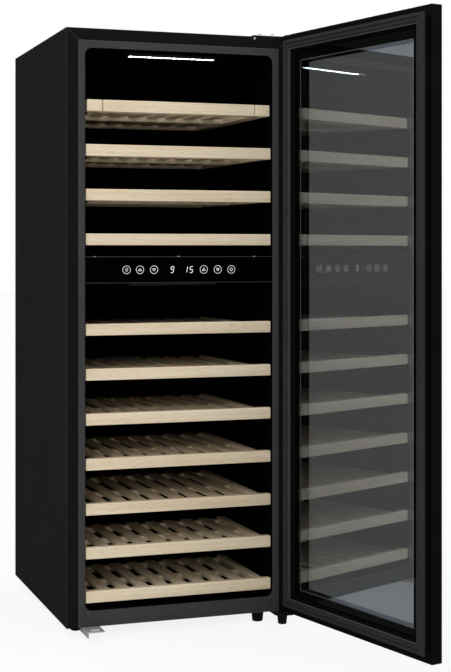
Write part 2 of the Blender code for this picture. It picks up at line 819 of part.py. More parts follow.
def condenser(parent):
    """The finned condenser with its fan shroud, on the base pan, and the fan that turns in the shroud."""
    wide, deep, tall = CONDENSER_SIZE
    foot = SHEET + GAP
    low = Vector((CONDENSER_X - wide / 2, machine_back() - deep, foot))
    high = Vector((CONDENSER_X + wide / 2, machine_back(), foot + tall))
    body = fin_block("condenser", low, high)
    shroud_front = low.y - SHROUD_DEPTH
    shell = block(
        "shroud_shell",
        (low.x, shroud_front, foot),
        (high.x, low.y + JOINT_OVERLAP, high.z),
    )
    hollow = block(
        "shroud_hollow",
        (low.x + SHROUD_WALL, shroud_front + SHROUD_WALL, foot + SHROUD_WALL),
        (high.x - SHROUD_WALL, low.y + CUT_MARGIN, high.z - SHROUD_WALL),
    )
    cut(shell, hollow)
    centre = Vector((CONDENSER_X, 0.0, foot + tall / 2))
    rotor_back = shroud_front + SHROUD_WALL + CONDENSER_FAN_DEPTH
    fan_seat(shell, "condenser_fan", centre, CONDENSER_FAN_RADIUS, shroud_front, rotor_back)
    join(body, shell)
    finish(body, ALUMINIUM_FIN, parent)
    centre.y = rotor_back - CONDENSER_FAN_DEPTH / 2
    fan_rotor("condenser_fan", centre, CONDENSER_FAN_RADIUS, CONDENSER_FAN_DEPTH, parent)


def cover_slots(front, back, top):
    """Air slots through the cover behind the compressor and the condenser, as pairs of corners."""
    found = []
    rows = int((top - 2 * COVER_SLOT_MARGIN) / COVER_SLOT_PITCH) + 1
    groups = (
        (COMPRESSOR_X, COMPRESSOR_SLOT_LENGTH / 2),
        (CONDENSER_X, CONDENSER_SLOT_LENGTH / 2),
    )
    for middle, half in groups:
        for row in range(rows):
            low = COVER_SLOT_MARGIN + row * COVER_SLOT_PITCH
            one = (middle - half, front - CUT_MARGIN, low)
            found.append((one, (middle + half, back + CUT_MARGIN, low + COVER_SLOT_HEIGHT)))
    return found


def compressor_cover(parent):
    """The slotted cover of the machine compartment, with the opening of the mains inlet."""
    side = SIDE_WALL - LINER_WALL
    back = DEPTH - COVER_INSET
    front = back - COVER_THICKNESS
    top = HUMP_HEIGHT - LINER_WALL - HUMP_FOAM - 2 * GAP
    cover = block("compressor_cover", (side, front, SHEET + GAP), (WIDTH - side, back, top))
    cut(cover, blocks("cover_slots", cover_slots(front, back, top)))
    wide, _, tall = INLET_SIZE
    hole = block(
        "inlet_hole",
        (INLET_X - wide / 2 - GAP, front - CUT_MARGIN, INLET_Z - tall / 2 - GAP),
        (INLET_X + wide / 2 + GAP, back + CUT_MARGIN, INLET_Z + tall / 2 + GAP),
    )
    cut(cover, hole)
    return finish(cover, CASING_PAINT, parent)


def mains_inlet(parent):
    """A three-pin appliance inlet: a rimmed body through the cover with a socket in its back."""
    wide, deep, tall = INLET_SIZE
    face = DEPTH - COVER_INSET + GAP
    inlet = block(
        "mains_inlet",
        (INLET_X - wide / 2, face - deep, INLET_Z - tall / 2),
        (INLET_X + wide / 2, face + INLET_FLANGE / 2, INLET_Z + tall / 2),
    )
    rim = block(
        "inlet_rim",
        (INLET_X - wide / 2 - INLET_RIM, face, INLET_Z - tall / 2 - INLET_RIM),
        (INLET_X + wide / 2 + INLET_RIM, face + INLET_FLANGE, INLET_Z + tall / 2 + INLET_RIM),
    )
    join(inlet, rim)
    socket = block(
        "inlet_socket",
        (INLET_X - wide / 2 + INLET_RIM, face - deep + INLET_RIM, INLET_Z - tall / 2 + INLET_RIM),
        (INLET_X + wide / 2 - INLET_RIM, face + CUT_MARGIN, INLET_Z + tall / 2 - INLET_RIM),
    )
    cut(inlet, socket)
    return finish(inlet, MOULDED_BLACK, parent)


# --- Shelves --------------------------------------------------------------------------------------


def tray(name, back, side_gap, side_width, side_front, side_top):
    """A tray of side rails, boards running front to back and cross bars, with z from the front rail's top."""
    left, right = CAVITY_LEFT + side_gap, CAVITY_RIGHT - side_gap
    front = RAIL_SETBACK + RAIL_THICKNESS + GAP
    bottom = -RAIL_HEIGHT
    sides = [
        ((left, side_front, bottom), (left + side_width, back, side_top)),
        ((right - side_width, side_front, bottom), (right, back, side_top)),
    ]
    made = blocks(name, sides)
    inner = right - left - 2 * side_width
    count = int((inner - SLAT_WIDTH / 2) / SLAT_PITCH)
    first = MIDDLE - (count - 1) * SLAT_PITCH / 2
    slats = []
    for index in range(count):
        middle = first + index * SLAT_PITCH
        low = (middle - SLAT_WIDTH / 2, front, -SLAT_DROP - SLAT_THICKNESS)
        slats.append((low, (middle + SLAT_WIDTH / 2, back, -SLAT_DROP)))
    bars = []
    spacing = (back - front - CROSS_BAR_DEPTH) / (CROSS_BAR_COUNT - 1)
    for index in range(CROSS_BAR_COUNT):
        start = front + index * spacing
        low = (left + side_width / 2, start, bottom)
        high = (right - side_width / 2, start + CROSS_BAR_DEPTH, -SLAT_DROP - SLAT_THICKNESS / 2)
        bars.append((low, high))
    join(made, blocks(name + "_bars", bars))
    join(made, blocks(name + "_slats", slats))
    return made


def front_rail(name, left, right):
    low = (left, RAIL_SETBACK, -RAIL_HEIGHT)
    rail = block(name, low, (right, RAIL_SETBACK + RAIL_THICKNESS, 0.0))
    return round_edges(rail, RAIL_ROUNDING, 1)


def frozen(obj):
    """The finished mesh of a template, which is then removed with its cutters."""
    mesh = mesh_of(obj)
    for child in list(obj.children):
        bpy.data.objects.remove(child, do_unlink=True)
    bpy.data.objects.remove(obj, do_unlink=True)
    return mesh


def shelf_meshes():
    """(tray, front rail) for the top shelf, the full-depth shelves and the short ones."""
    plain = (SIDE_RAIL_WIDTH, RAIL_SETBACK + RAIL_THICKNESS + GAP, -SIDE_RAIL_DROP)
    long_tray = frozen(tray("long_tray", tray_back(False), TRAY_SIDE_GAP, *plain))
    short_tray = frozen(tray("short_tray", tray_back(True), TRAY_SIDE_GAP, *plain))
    wide = (TOP_TRAY_SIDE_GAP, WIDE_RAIL_WIDTH, RAIL_SETBACK, 0.0)
    top_tray = frozen(tray("top_tray", tray_back(False), *wide))
    left, right = CAVITY_LEFT + RAIL_SIDE_GAP, CAVITY_RIGHT - RAIL_SIDE_GAP
    rail = frozen(front_rail("full_rail", left, right))
    inset = TOP_TRAY_SIDE_GAP + WIDE_RAIL_WIDTH + GAP
    top_rail = frozen(front_rail("inset_rail", CAVITY_LEFT + inset, CAVITY_RIGHT - inset))
    return (top_tray, top_rail), (long_tray, rail), (short_tray, rail)


def shelves(parent):
    """Each shelf is a tray with its front rail on an empty that slides forward along the ledges."""
    top_pair, long_pair, short_pair = shelf_meshes()
    for index, (top, short) in enumerate(shelf_tops()):
        number = f"{index + 1:02d}"
        tray_mesh, rail_mesh = short_pair if short else long_pair
        if index == 0:
            tray_mesh, rail_mesh = top_pair
        slide = add_empty(f"shelf_{number}_slide", (0.0, 0.0, top), parent)
        for name, mesh in ((f"shelf_tray_{number}", tray_mesh), (f"shelf_front_{number}", rail_mesh)):
            piece = add_object(name, mesh)
            piece.parent = slide
            if not mesh.materials:
                mesh.materials.append(BEECH)


# --- Door -----------------------------------------------------------------------------------------


def door_ring(name, insets_out, insets_in, front, back):
    """A rectangular ring in the door. Insets are from the free side, the hinge side and both ends."""
    free_out, hinge_out, ends_out = insets_out
    free_in, hinge_in, ends_in = insets_in
    ring = block(
        name,
        (free_out, front, DOOR_BOTTOM + ends_out),
        (WIDTH - hinge_out, back, DOOR_TOP - ends_out),
    )
    opening = block(
        name + "_opening",
        (free_in, front - CUT_MARGIN, DOOR_BOTTOM + ends_in),
        (WIDTH - hinge_in, back + CUT_MARGIN, DOOR_TOP - ends_in),
    )
    return cut(ring, opening)


def door_frame(hinge):
    """A ring with a rib between the panes, a finger pull, pin holes and room for the top hinge."""
    stiles = (STILE_FREE, STILE_HINGE, STILE_ENDS)
    frame = door_ring("door_frame", (0.0, 0.0, 0.0), stiles, FRAME_FRONT, FRAME_BACK)
    rib_out = tuple(inset - JOINT_OVERLAP for inset in stiles)
    rib_in = tuple(inset + PANE_RIB for inset in stiles)
    join(frame, door_ring("pane_rib", rib_out, rib_in, FRAME_FRONT, INNER_PANE_FRONT - GAP))
    grip = block(
        "finger_pull",
        (GRIP_EDGE, FRAME_BACK - GRIP_DEPTH, DOOR_BOTTOM + GRIP_ENDS),
        (GRIP_EDGE + GRIP_WIDTH, FRAME_BACK + CUT_MARGIN, DOOR_TOP - GRIP_ENDS),
    )
    cut(frame, grip)
    notch = block(
        "hinge_notch",
        (WIDTH - NOTCH_LENGTH, FRAME_FRONT - CUT_MARGIN, DOOR_TOP - NOTCH_DEPTH),
        (WIDTH + CUT_MARGIN, FRAME_BACK + CUT_MARGIN, DOOR_TOP + CUT_MARGIN),
    )
    cut(frame, notch)
    hole = PIN_RADIUS + PIN_CLEARANCE
    depth = PIN_LENGTH + BRACKET_THICKNESS
    for name, height in (("pin_hole_bottom", DOOR_BOTTOM), ("pin_hole_top", DOOR_TOP - NOTCH_DEPTH)):
        centre = Vector((HINGE_AXIS.x, HINGE_AXIS.y, height))
        cut(frame, cylinder(name, centre, hole, 2 * depth))
    return finish(frame, DOOR_PLASTIC, hinge)


def door_glass(hinge):
    outer = block(
        "door_outer_glass",
        (0.0, GLASS_FACE, DOOR_BOTTOM),
        (WIDTH, GLASS_FACE + OUTER_GLASS, DOOR_TOP),
    )
    round_edges(outer, DOOR_ROUNDING, 1)
    finish(outer, DARK_GLASS, hinge)
    inner = block(
        "door_inner_glass",
        (STILE_FREE + GAP, INNER_PANE_FRONT, DOOR_BOTTOM + STILE_ENDS + GAP),
        (WIDTH - STILE_HINGE - GAP, INNER_PANE_FRONT + INNER_GLASS, DOOR_TOP - STILE_ENDS - GAP),
    )
    finish(inner, CLEAR_GLASS, hinge)


def door_gasket(hinge):
    outside = (GASKET_FREE, GASKET_HINGE, GASKET_ENDS)
    inside = tuple(inset + GASKET_WIDTH for inset in outside)
    gasket = door_ring("door_gasket", outside, inside, FRAME_BACK + GAP, -GASKET_CLEARANCE)
    return finish(gasket, GASKET_RUBBER, hinge)


def door(parent):
    hinge = add_empty("door_hinge", HINGE_AXIS, parent)
    door_frame(hinge)
    door_glass(hinge)
    door_gasket(hinge)
    hinge.rotation_euler.z = math.radians(DOOR_OPEN_DEG)


# --- Hinges, corner bracket and feet --------------------------------------------------------------


def lower_hinge_bracket(parent):
    """A plate under the cabinet that reaches forward, with the boss and pin that carry the door."""
    right = WIDTH - SHEET / 2
    left = right - LOWER_BRACKET_WIDTH
    front = -(PIN_FORWARD + BRACKET_REACH)
    top = -GAP
    corner = LOWER_BRACKET_CORNER
    points = [
        (left, LOWER_BRACKET_BACK),
        (left, front + corner),
        (left + corner, front),
        (right - corner / 2, front),
        (right, front + corner / 2),
        (right, LOWER_BRACKET_BACK),
    ]
    bracket = outline("hinge_bracket_bottom", points, top - BRACKET_THICKNESS, top, "XY")
    boss_top = DOOR_BOTTOM - GAP
    boss_low = top - BRACKET_THICKNESS / 2
    boss_middle = Vector((HINGE_AXIS.x, HINGE_AXIS.y, (boss_low + boss_top) / 2))
    join(bracket, cylinder("bracket_boss", boss_middle, BRACKET_BOSS, boss_top - boss_low))
    pin_middle = Vector((HINGE_AXIS.x, HINGE_AXIS.y, (boss_low + DOOR_BOTTOM + PIN_LENGTH) / 2))
    pin_length = DOOR_BOTTOM + PIN_LENGTH - boss_low
    join(bracket, cylinder("bracket_pin", pin_middle, PIN_RADIUS, pin_length))
    return finish(bracket, HINGE_BLACK, parent)


def top_hinge_bracket(parent):
    """A plate on the cabinet's top edge with a tongue over the door, and a pin down into it."""
    right = WIDTH - SHEET / 2
    low, high = HEIGHT + GAP, HEIGHT + GAP + TOP_BRACKET_THICKNESS
    plate = block(
        "hinge_bracket_top",
        (right - TOP_BRACKET_LENGTH, TOP_BRACKET_FRONT, low),
        (right, TOP_BRACKET_BACK, high),
    )
    tongue = block(
        "tongue",
        (HINGE_AXIS.x - TONGUE_RADIUS, HINGE_AXIS.y, low),
        (HINGE_AXIS.x + TONGUE_SIDE, TOP_BRACKET_BACK / 2, high),
    )
    join(plate, tongue)
    middle = (low + high) / 2
    tip = cylinder(
        "tongue_tip",
        Vector((HINGE_AXIS.x, HINGE_AXIS.y, middle)),
        TONGUE_RADIUS,
        TOP_BRACKET_THICKNESS,
    )
    join(plate, tip)
    pin_low = DOOR_TOP - NOTCH_DEPTH - PIN_LENGTH
    pin = cylinder(
        "top_pin",
        Vector((HINGE_AXIS.x, HINGE_AXIS.y, (pin_low + middle) / 2)),
        PIN_RADIUS,
        middle - pin_low,
    )
    join(plate, pin)
    return finish(plate, HINGE_BLACK, parent)


def corner_bracket(parent):
    """A bare steel angle under the lower left corner, with a slot in its plate."""
    left, right = CORNER_BRACKET_X, CORNER_BRACKET_X + CORNER_BRACKET_WIDTH
    front, back = -CORNER_BRACKET_FRONT, CORNER_BRACKET_BACK
    top = -GAP
    bracket = block(
        "corner_bracket",
        (left, front, top - CORNER_BRACKET_SHEET),
        (right, back, top),
    )
    flange = block(
        "corner_bracket_flange",
        (left, front, top - CORNER_BRACKET_FLANGE),
        (left + CORNER_BRACKET_SHEET, back, top),
    )
    join(bracket, flange)
    middle = (left + right + CORNER_BRACKET_SHEET) / 2
    slot = block(
        "corner_bracket_slot",
        (middle - CORNER_SLOT_LENGTH / 2, front / 2 - CORNER_SLOT_WIDTH, top - CUT_MARGIN),
        (middle + CORNER_SLOT_LENGTH / 2, front / 2, top + CUT_MARGIN),
    )
    cut(bracket, slot)
    return finish(bracket, ZINC_STEEL, parent)


def foot(name, across, along, radius, top, parent):
    """A tapered levelling foot. Its origin is on its axis, at the floor."""
    height = FOOT_HEIGHT + top
    profile = [(out * radius, up * height) for out, up in FOOT_PROFILE]
    return finish(turned(name, profile, (across, along, -FOOT_HEIGHT)), FOOT_PLASTIC, parent)


def feet(parent):
    for name, across, along, radius in FOOT_PLACES:
        under_bracket = name == "foot_hinge"
        top = -2 * GAP - BRACKET_THICKNESS if under_bracket else -GAP
        foot(name, across, along, radius, top, parent)


def move_origin_to_bottom_centre(root):
    """Moves the cooler so that the origin is at the bottom centre of its box."""
    bpy.context.view_layer.update()
    graph = bpy.context.evaluated_depsgraph_get()
    low, high = Vector((math.inf,) * 3), Vector((-math.inf,) * 3)
    for obj in PARTS.objects:
        if obj.type != "MESH":
            continue
        evaluated = obj.evaluated_get(graph)
        mesh = evaluated.to_mesh()
        for vertex in mesh.vertices:
            point = evaluated.matrix_world @ vertex.co
            low = Vector(map(min, low, point))
            high = Vector(map(max, high, point))
        evaluated.to_mesh_clear()
    root.location = -Vector(((low.x + high.x) / 2, (low.y + high.y) / 2, low.z))


def build():
    root = add_empty("cooler", (0.0, 0.0, 0.0))
    side_panel("side_panel_left", lambda inward: inward, root)
    side_panel("side_panel_right", lambda inward: WIDTH - inward, root)
    top_panel(root)
    rear_panel(root)
    base_pan(root)
    kick_panel(root)
    inner_liner(root)
    insulation(root)
    zone_divider(root)
    lamp("light_bar_upper", CAVITY_TOP, root)
    lamp("light_bar_lower", PANEL_BOTTOM + DIVIDER_STEP, root)
    duct_cover(root)
    rotor_middle = DUCT_FRONT + DUCT_WALL + DUCT_FAN_DEPTH / 2
    for name, height in duct_fan_heights():
        centre = Vector((MIDDLE, rotor_middle, height))
        fan_rotor(name, centre, DUCT_FAN_RADIUS, DUCT_FAN_DEPTH, root)
    for (_, height), zone in zip(duct_fan_heights(), ("upper", "lower")):
        evaporator(f"evaporator_{zone}", height - DUCT_FAN_RADIUS - EVAPORATOR_DROP, root)
    compressor(root)
    condenser(root)
    compressor_cover(root)
    mains_inlet(root)
    shelves(root)
    door(root)
    lower_hinge_bracket(root)
    top_hinge_bracket(root)
    corner_bracket(root)
    feet(root)
    move_origin_to_bottom_centre(root)


build()
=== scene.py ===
import json
import math

import bmesh
import bpy
from mathutils import Matrix, Vector

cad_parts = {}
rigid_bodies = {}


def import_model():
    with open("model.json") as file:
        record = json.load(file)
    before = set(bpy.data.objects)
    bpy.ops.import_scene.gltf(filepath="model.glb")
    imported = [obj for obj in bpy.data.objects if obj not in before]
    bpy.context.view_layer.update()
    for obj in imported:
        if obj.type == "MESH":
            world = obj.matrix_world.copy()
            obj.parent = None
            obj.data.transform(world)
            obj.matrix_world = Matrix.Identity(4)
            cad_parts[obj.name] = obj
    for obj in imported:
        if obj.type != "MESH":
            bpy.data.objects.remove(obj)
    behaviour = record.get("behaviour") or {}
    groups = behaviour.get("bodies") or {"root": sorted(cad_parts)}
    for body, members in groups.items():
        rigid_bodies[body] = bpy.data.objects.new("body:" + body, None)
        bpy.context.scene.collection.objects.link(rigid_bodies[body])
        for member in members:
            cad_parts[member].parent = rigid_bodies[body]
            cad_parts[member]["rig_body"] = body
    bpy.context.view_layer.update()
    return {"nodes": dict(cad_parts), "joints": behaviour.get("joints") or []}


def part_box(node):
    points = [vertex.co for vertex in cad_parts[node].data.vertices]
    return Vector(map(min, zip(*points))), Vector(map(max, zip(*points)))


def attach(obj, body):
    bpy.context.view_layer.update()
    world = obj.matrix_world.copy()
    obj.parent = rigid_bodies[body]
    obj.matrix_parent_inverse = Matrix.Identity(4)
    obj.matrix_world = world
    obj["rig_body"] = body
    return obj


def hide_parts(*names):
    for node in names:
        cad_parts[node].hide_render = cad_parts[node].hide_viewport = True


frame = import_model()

SCENE = bpy.context.scene

# Places. Pieces are drawn in the cabinet's own frame: x from its left side, y back from its front
# face, z up from its underside. The door is drawn closed, and then turned to where it hangs.
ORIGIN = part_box("side_panel_left")[0]
AT_CABINET = Matrix.Translation(ORIGIN)
HINGE = next(joint for joint in frame["joints"] if joint["name"] == "door_hinge")
PIN = Vector(HINGE["pos_m"])
DOOR_TURN = math.radians(-HINGE["range_deg"][0])
AT_DOOR = (
    Matrix.Translation(PIN)
    @ Matrix.Rotation(DOOR_TURN, 4, "Z")
    @ Matrix.Translation(-PIN)
    @ AT_CABINET
)


def local_box(node, place=AT_CABINET):
    """(lowest, highest) corner of a CAD node in the frame that its pieces are drawn in."""
    back = place.inverted()
    points = [back @ vertex.co for vertex in frame["nodes"][node].data.vertices]
    low = Vector([min(point[axis] for point in points) for axis in range(3)])
    high = Vector([max(point[axis] for point in points) for axis in range(3)])
    return low, high


WIDTH, DEPTH, HEIGHT = local_box("side_panel_right")[1]
MIDDLE = WIDTH / 2
SHEET = 0.001  # thickness of the casing's sheet
BEND = 0.0022  # outer radius of its folds
FLANGE = 0.030  # width of its front flange
GAP = 0.0003  # between neighbouring pieces


# --- Materials ---

MIX_A, MIX_B, MIX_RESULT = 6, 7, 2  # a Mix node's colour sockets
SHEET_METALLIC = 0.55
GRAIN_DEPTH = 0.0002
NOISE_LOW, NOISE_HIGH = 0.3, 0.7  # nearly all of a noise lies between these
BEECH_TONES = (
    (0.30, (0.60, 0.495, 0.350)),
    (0.55, (0.685, 0.585, 0.430)),
    (0.75, (0.745, 0.655, 0.505)),
)


def new_material(name, color, rough, metallic=0.0, specular=0.5):
    made = bpy.data.materials.new(name)
    made.use_nodes = True
    shader = made.node_tree.nodes["Principled BSDF"]
    shader.inputs["Base Color"].default_value = (*color, 1.0)
    shader.inputs["Roughness"].default_value = rough
    shader.inputs["Metallic"].default_value = metallic
    shader.inputs["Specular IOR Level"].default_value = specular
    return made


def add_node(made, kind, **inputs):
    node = made.node_tree.nodes.new(kind)
    for name, value in inputs.items():
        node.inputs[name.replace("_", " ")].default_value = value
    return node


def link(made, source, target):
    made.node_tree.links.new(source, target)


def shader_of(made):
    return made.node_tree.nodes["Principled BSDF"]


def noise(made, scale, detail=3.0, stretch=(1.0, 1.0, 1.0), distortion=0.0):
    """Noise in the piece's own coordinates, in metres."""
    place = add_node(made, "ShaderNodeTexCoord")
    mapping = add_node(made, "ShaderNodeMapping", Scale=stretch)
    link(made, place.outputs["Object"], mapping.inputs["Vector"])
    texture = add_node(
        made, "ShaderNodeTexNoise", Scale=scale, Detail=detail, Distortion=distortion
    )
    link(made, mapping.outputs["Vector"], texture.inputs["Vector"])
    return texture.outputs["Fac"]


def ramp(made, source, stops):
    """A colour from a value, with stops of (value, colour)."""
    node = add_node(made, "ShaderNodeValToRGB")
    elements = node.color_ramp.elements
    while len(elements) < len(stops):
        elements.new(0.5)
    for element, (place, color) in zip(elements, stops):
        element.position = place
        element.color = (*color, 1.0)
    link(made, source, node.inputs["Fac"])
    return node.outputs["Color"]


def spread(made, source, low, high, target):
    """Lets a noise move one of the shader's values between two limits."""
    node = add_node(made, "ShaderNodeMapRange")
    limits = (("From Min", NOISE_LOW), ("From Max", NOISE_HIGH), ("To Min", low), ("To Max", high))
    for name, value in limits:
        node.inputs[name].default_value = value
    link(made, source, node.inputs["Value"])
    link(made, node.outputs["Result"], shader_of(made).inputs[target])


def bump(made, source, strength, distance):
    node = add_node(made, "ShaderNodeBump", Strength=strength, Distance=distance)
    link(made, source, node.inputs["Height"])
    link(made, node.outputs["Normal"], shader_of(made).inputs["Normal"])


def shaded(color, factor):
    return tuple(min(1.0, channel * factor) for channel in color)


def multiply(made, one, other):
    node = made.node_tree.nodes.new("ShaderNodeMix")
    node.data_type = "RGBA"
    node.blend_type = "MULTIPLY"
    node.inputs["Factor"].default_value = 1.0
    link(made, one, node.inputs[MIX_A])
    link(made, other, node.inputs[MIX_B])
    return node.outputs[MIX_RESULT]


def grained(name, color, rough, specular=0.5, grain=1400.0, relief=0.12, shade=0.12):
    """Moulded plastic, paint or rubber: slightly uneven in colour and gloss, with a fine grain."""
    made = new_material(name, color, rough, specular=specular)
    broad = noise(made, 9.0)
    tint = ramp(made, broad, ((0.35, shaded(color, 1 - shade)), (0.65, shaded(color, 1 + shade))))
    link(made, tint, shader_of(made).inputs["Base Color"])
    spread(made, broad, rough - 0.04, rough + 0.04, "Roughness")
    bump(made, noise(made, grain, 2.0), relief, GRAIN_DEPTH)
    return made


def brushed(name, color, rough, stretch, shade=0.10):
    """Sheet metal with fine marks along one direction."""
    made = new_material(name, color, rough, SHEET_METALLIC)
    marks = noise(made, 12.0, 6.0, stretch)
    tint = ramp(made, marks, ((0.3, shaded(color, 1 - shade)), (0.7, shaded(color, 1 + shade))))
    link(made, tint, shader_of(made).inputs["Base Color"])
    spread(made, marks, rough - 0.06, rough + 0.08, "Roughness")
    bump(made, marks, 0.05, GRAIN_DEPTH)
    return made


def stretched(along, across_scale, along_scale):
    """A noise scale that differs along one axis."""
    return tuple(along_scale if axis == along else across_scale for axis in "XYZ")


def beech(name, along, shade=1.0):
    """Pale beech with its grain along one axis: broad bands, fine streaks and short dark flecks."""
    made = new_material(name, BEECH_TONES[1][1], 0.5, specular=0.3)
    broad = noise(made, 1.0, 4.0, stretched(along, 16.0, 1.0), 0.6)
    fine = noise(made, 1.0, 3.0, stretched(along, 150.0, 3.0), 0.2)
    fleck = noise(made, 1.0, 1.0, stretched(along, 420.0, 45.0))
    ground = ramp(made, broad, [(at, shaded(tone, shade)) for at, tone in BEECH_TONES])
    streak = ramp(made, fine, ((0.30, (0.90, 0.875, 0.84)), (0.62, (1.0, 1.0, 1.0))))
    flecks = ramp(made, fleck, ((0.60, (1.0, 1.0, 1.0)), (0.72, (0.88, 0.81, 0.74))))
    tint = multiply(made, multiply(made, ground, streak), flecks)
    link(made, tint, shader_of(made).inputs["Base Color"])
    spread(made, fine, 0.42, 0.58, "Roughness")
    bump(made, fine, 0.18, 0.0003)
    return made


def pane(name, tint, ior, coating):
    """Glass, with a trace of haze that varies over the pane."""
    made = new_material(name, tint, 0.0)
    inputs = shader_of(made).inputs
    inputs["Transmission Weight"].default_value = 1.0
    inputs["IOR"].default_value = ior
    inputs["Specular Tint"].default_value = (*coating, 1.0)
    spread(made, noise(made, 6.0), 0.0, 0.002, "Roughness")
    return made


def glow(name, color, strength):
    """A lit diffuser, a little uneven."""
    made = new_material(name, (0.8, 0.8, 0.8), 0.4)
    tint = ramp(made, noise(made, 60.0), ((0.35, shaded(color, 0.86)), (0.65, color)))
    link(made, tint, shader_of(made).inputs["Emission Color"])
    shader_of(made).inputs["Emission Strength"].default_value = strength
    return made


SIDE_PAINT = grained("side_panel_black", (0.0128, 0.0128, 0.0132), 0.55, 0.0, shade=0.05)
# The front flange is the sides' own sheet and paint, made darker here as painted shade.
FRONT_SHADED_PAINT = grained("front_flange_painted_shade", (0.0072, 0.0072, 0.0076), 0.50, 0.02, shade=0.05)
# Lighter than the casing's paint: a painted highlight on its folds and mitres.
CASING_EDGE_HIGHLIGHT = grained("folded_edge_painted_highlight", (0.030, 0.030, 0.031), 0.45, 0.05, shade=0.05)
LINER_GREY = grained("liner_flange_grey", (0.042, 0.042, 0.043), 0.55, 0.03, shade=0.05)
LINER_BLACK = grained("liner_inside_black", (0.0012, 0.0012, 0.0013), 0.6, 0.01)
KICK_GREY = grained("kick_panel_dark_grey", (0.040, 0.040, 0.041), 0.5, 0.04, shade=0.05)
FOAM = grained("foam_cream", (0.72, 0.60, 0.36), 0.9, grain=500.0, relief=0.5, shade=0.08)
ZINC = brushed("zinc_plated_sheet", (0.55, 0.56, 0.57), 0.38, (1.0, 1.0, 14.0))
STEEL = brushed("bare_bracket_steel", (0.62, 0.63, 0.64), 0.30, (1.0, 10.0, 10.0))
BRIGHT_STEEL = brushed("pin_and_screw_steel", (0.72, 0.72, 0.72), 0.22, (1.0, 1.0, 20.0))
FINS = brushed("fin_aluminium", (0.78, 0.79, 0.80), 0.3, (1.0, 1.0, 8.0))
MACHINE = grained("compressor_enamel", (0.012, 0.012, 0.012), 0.35, 0.4)
MOULDED = grained("moulded_black", (0.006, 0.006, 0.0065), 0.55, 0.05)
DUCT_BLACK = grained("duct_black", (0.0022, 0.0022, 0.0024), 0.6, 0.01)
PANEL_BLACK = grained("control_panel_gloss", (0.0006, 0.0006, 0.0006), 0.10, 0.004, relief=0.0)
LAMP_CASE = grained("lamp_case", (0.02, 0.02, 0.02), 0.5, 0.1)
LAMP_LIGHT = glow("lamp_lit", (0.60, 0.62, 0.65), 1.0)
ICON_LIGHT = glow("icon_lit", (0.36, 0.37, 0.38), 1.0)
WOOD_X = beech("beech_across", "X")
WOOD_Y = beech("beech_front_to_back", "Y")
# A lighter copy of the beech for the rails' rounded edges, as a painted highlight.
WOOD_EDGE_HIGHLIGHT = beech("beech_edge_highlight", "X", 1.28)
OUTER_PANE = pane("outer_pane_tinted", (0.084, 0.086, 0.090), 1.6, (1.0, 1.0, 1.0))
INNER_PANE = pane("inner_pane_clear", (0.86, 0.88, 0.88), 2.1, (0.56, 0.72, 0.92))
DOOR_BLACK = grained("door_frame_satin", (0.0036, 0.0036, 0.0038), 0.5, 0.03, shade=0.08)
BORDER_BLACK = grained("printed_border", (0.0025, 0.0025, 0.0027), 0.35, 0.02, relief=0.02)
GASKET = grained("gasket_rubber", (0.027, 0.027, 0.028), 0.6, 0.06, shade=0.06)
# Lighter than the seal: a painted highlight on its inner edge.
GASKET_HIGHLIGHT = grained("gasket_painted_highlight", (0.085, 0.085, 0.087), 0.5, 0.08, shade=0.06)
ENAMEL = grained("inner_pane_enamel", (0.0012, 0.0012, 0.0013), 0.05, 0.28, relief=0.0)
HINGE_PAINT = grained("hinge_black", (0.009, 0.009, 0.009), 0.45, 0.1)
FOOT_BLACK = grained("foot_black", (0.007, 0.007, 0.007), 0.5, 0.1)
# A painted highlight for the outer edge of the liner's front flange.
LINER_EDGE_HIGHLIGHT = grained("liner_edge_highlight", (0.080, 0.080, 0.082), 0.5, 0.05, shade=0.05)
# A painted highlight for the control panel's top and bottom edges.
PANEL_EDGE_HIGHLIGHT = grained("panel_edge_highlight", (0.055, 0.055, 0.057), 0.35, 0.1, relief=0.02)
CHIP_LIGHT = glow("lamp_chip", (1.0, 1.0, 1.0), 14.0)
SPACER_GREY = grained("spacer_grey", (0.016, 0.016, 0.016), 0.5, 0.02)
# The spacer's holes are real; this near-black is painted shade for their insides.
SPACER_HOLE_SHADE = grained("spacer_hole_painted_shade", (0.0008, 0.0008, 0.0008), 0.5, 0.0)
# A painted highlight for the bead at the enamel's inner edge.
BEAD_HIGHLIGHT = grained("bead_painted_highlight", (0.15, 0.15, 0.155), 0.5, 0.1)
COPPER = brushed("tube_copper", (0.75, 0.42, 0.28), 0.3, (14.0, 1.0, 1.0))


# --- Mesh building ---

CORNER = math.radians(40)  # an edge of an outline this sharp is rounded
CAD_CORNER = math.radians(30)
FLAT = math.radians(1.0)
LATHE_TURN = {
    "X": Matrix.Rotation(math.pi / 2, 4, "Y"),
    "Y": Matrix.Rotation(-math.pi / 2, 4, "X"),
    "Z": Matrix(),
}


def body_of(node):
    return frame["nodes"][node]["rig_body"]


def place_piece(name, build, surfaces, body, nodes=(), place=AT_CABINET, sharp=35.0):
    """Turns a bmesh into a piece on a body, standing for CAD nodes."""
    bmesh.ops.recalc_face_normals(build, faces=build.faces)
    mesh = bpy.data.meshes.new(name)
    build.to_mesh(mesh)
    build.free()
    mesh.shade_smooth()
    mesh.set_sharp_from_angle(angle=math.radians(sharp))
    for surface in surfaces:
        mesh.materials.append(surface)
    piece = bpy.data.objects.new(name, mesh)
    SCENE.collection.objects.link(piece)
    piece.matrix_world = place
    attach(piece, body)
    if nodes:
        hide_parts(*nodes)


def bevel_edges(build, edges, width, segments):
    if width > 0:
        shape = {"offset": width, "segments": segments, "profile": 0.5}
        bmesh.ops.bevel(build, geom=edges, affect="EDGES", clamp_overlap=True, **shape)


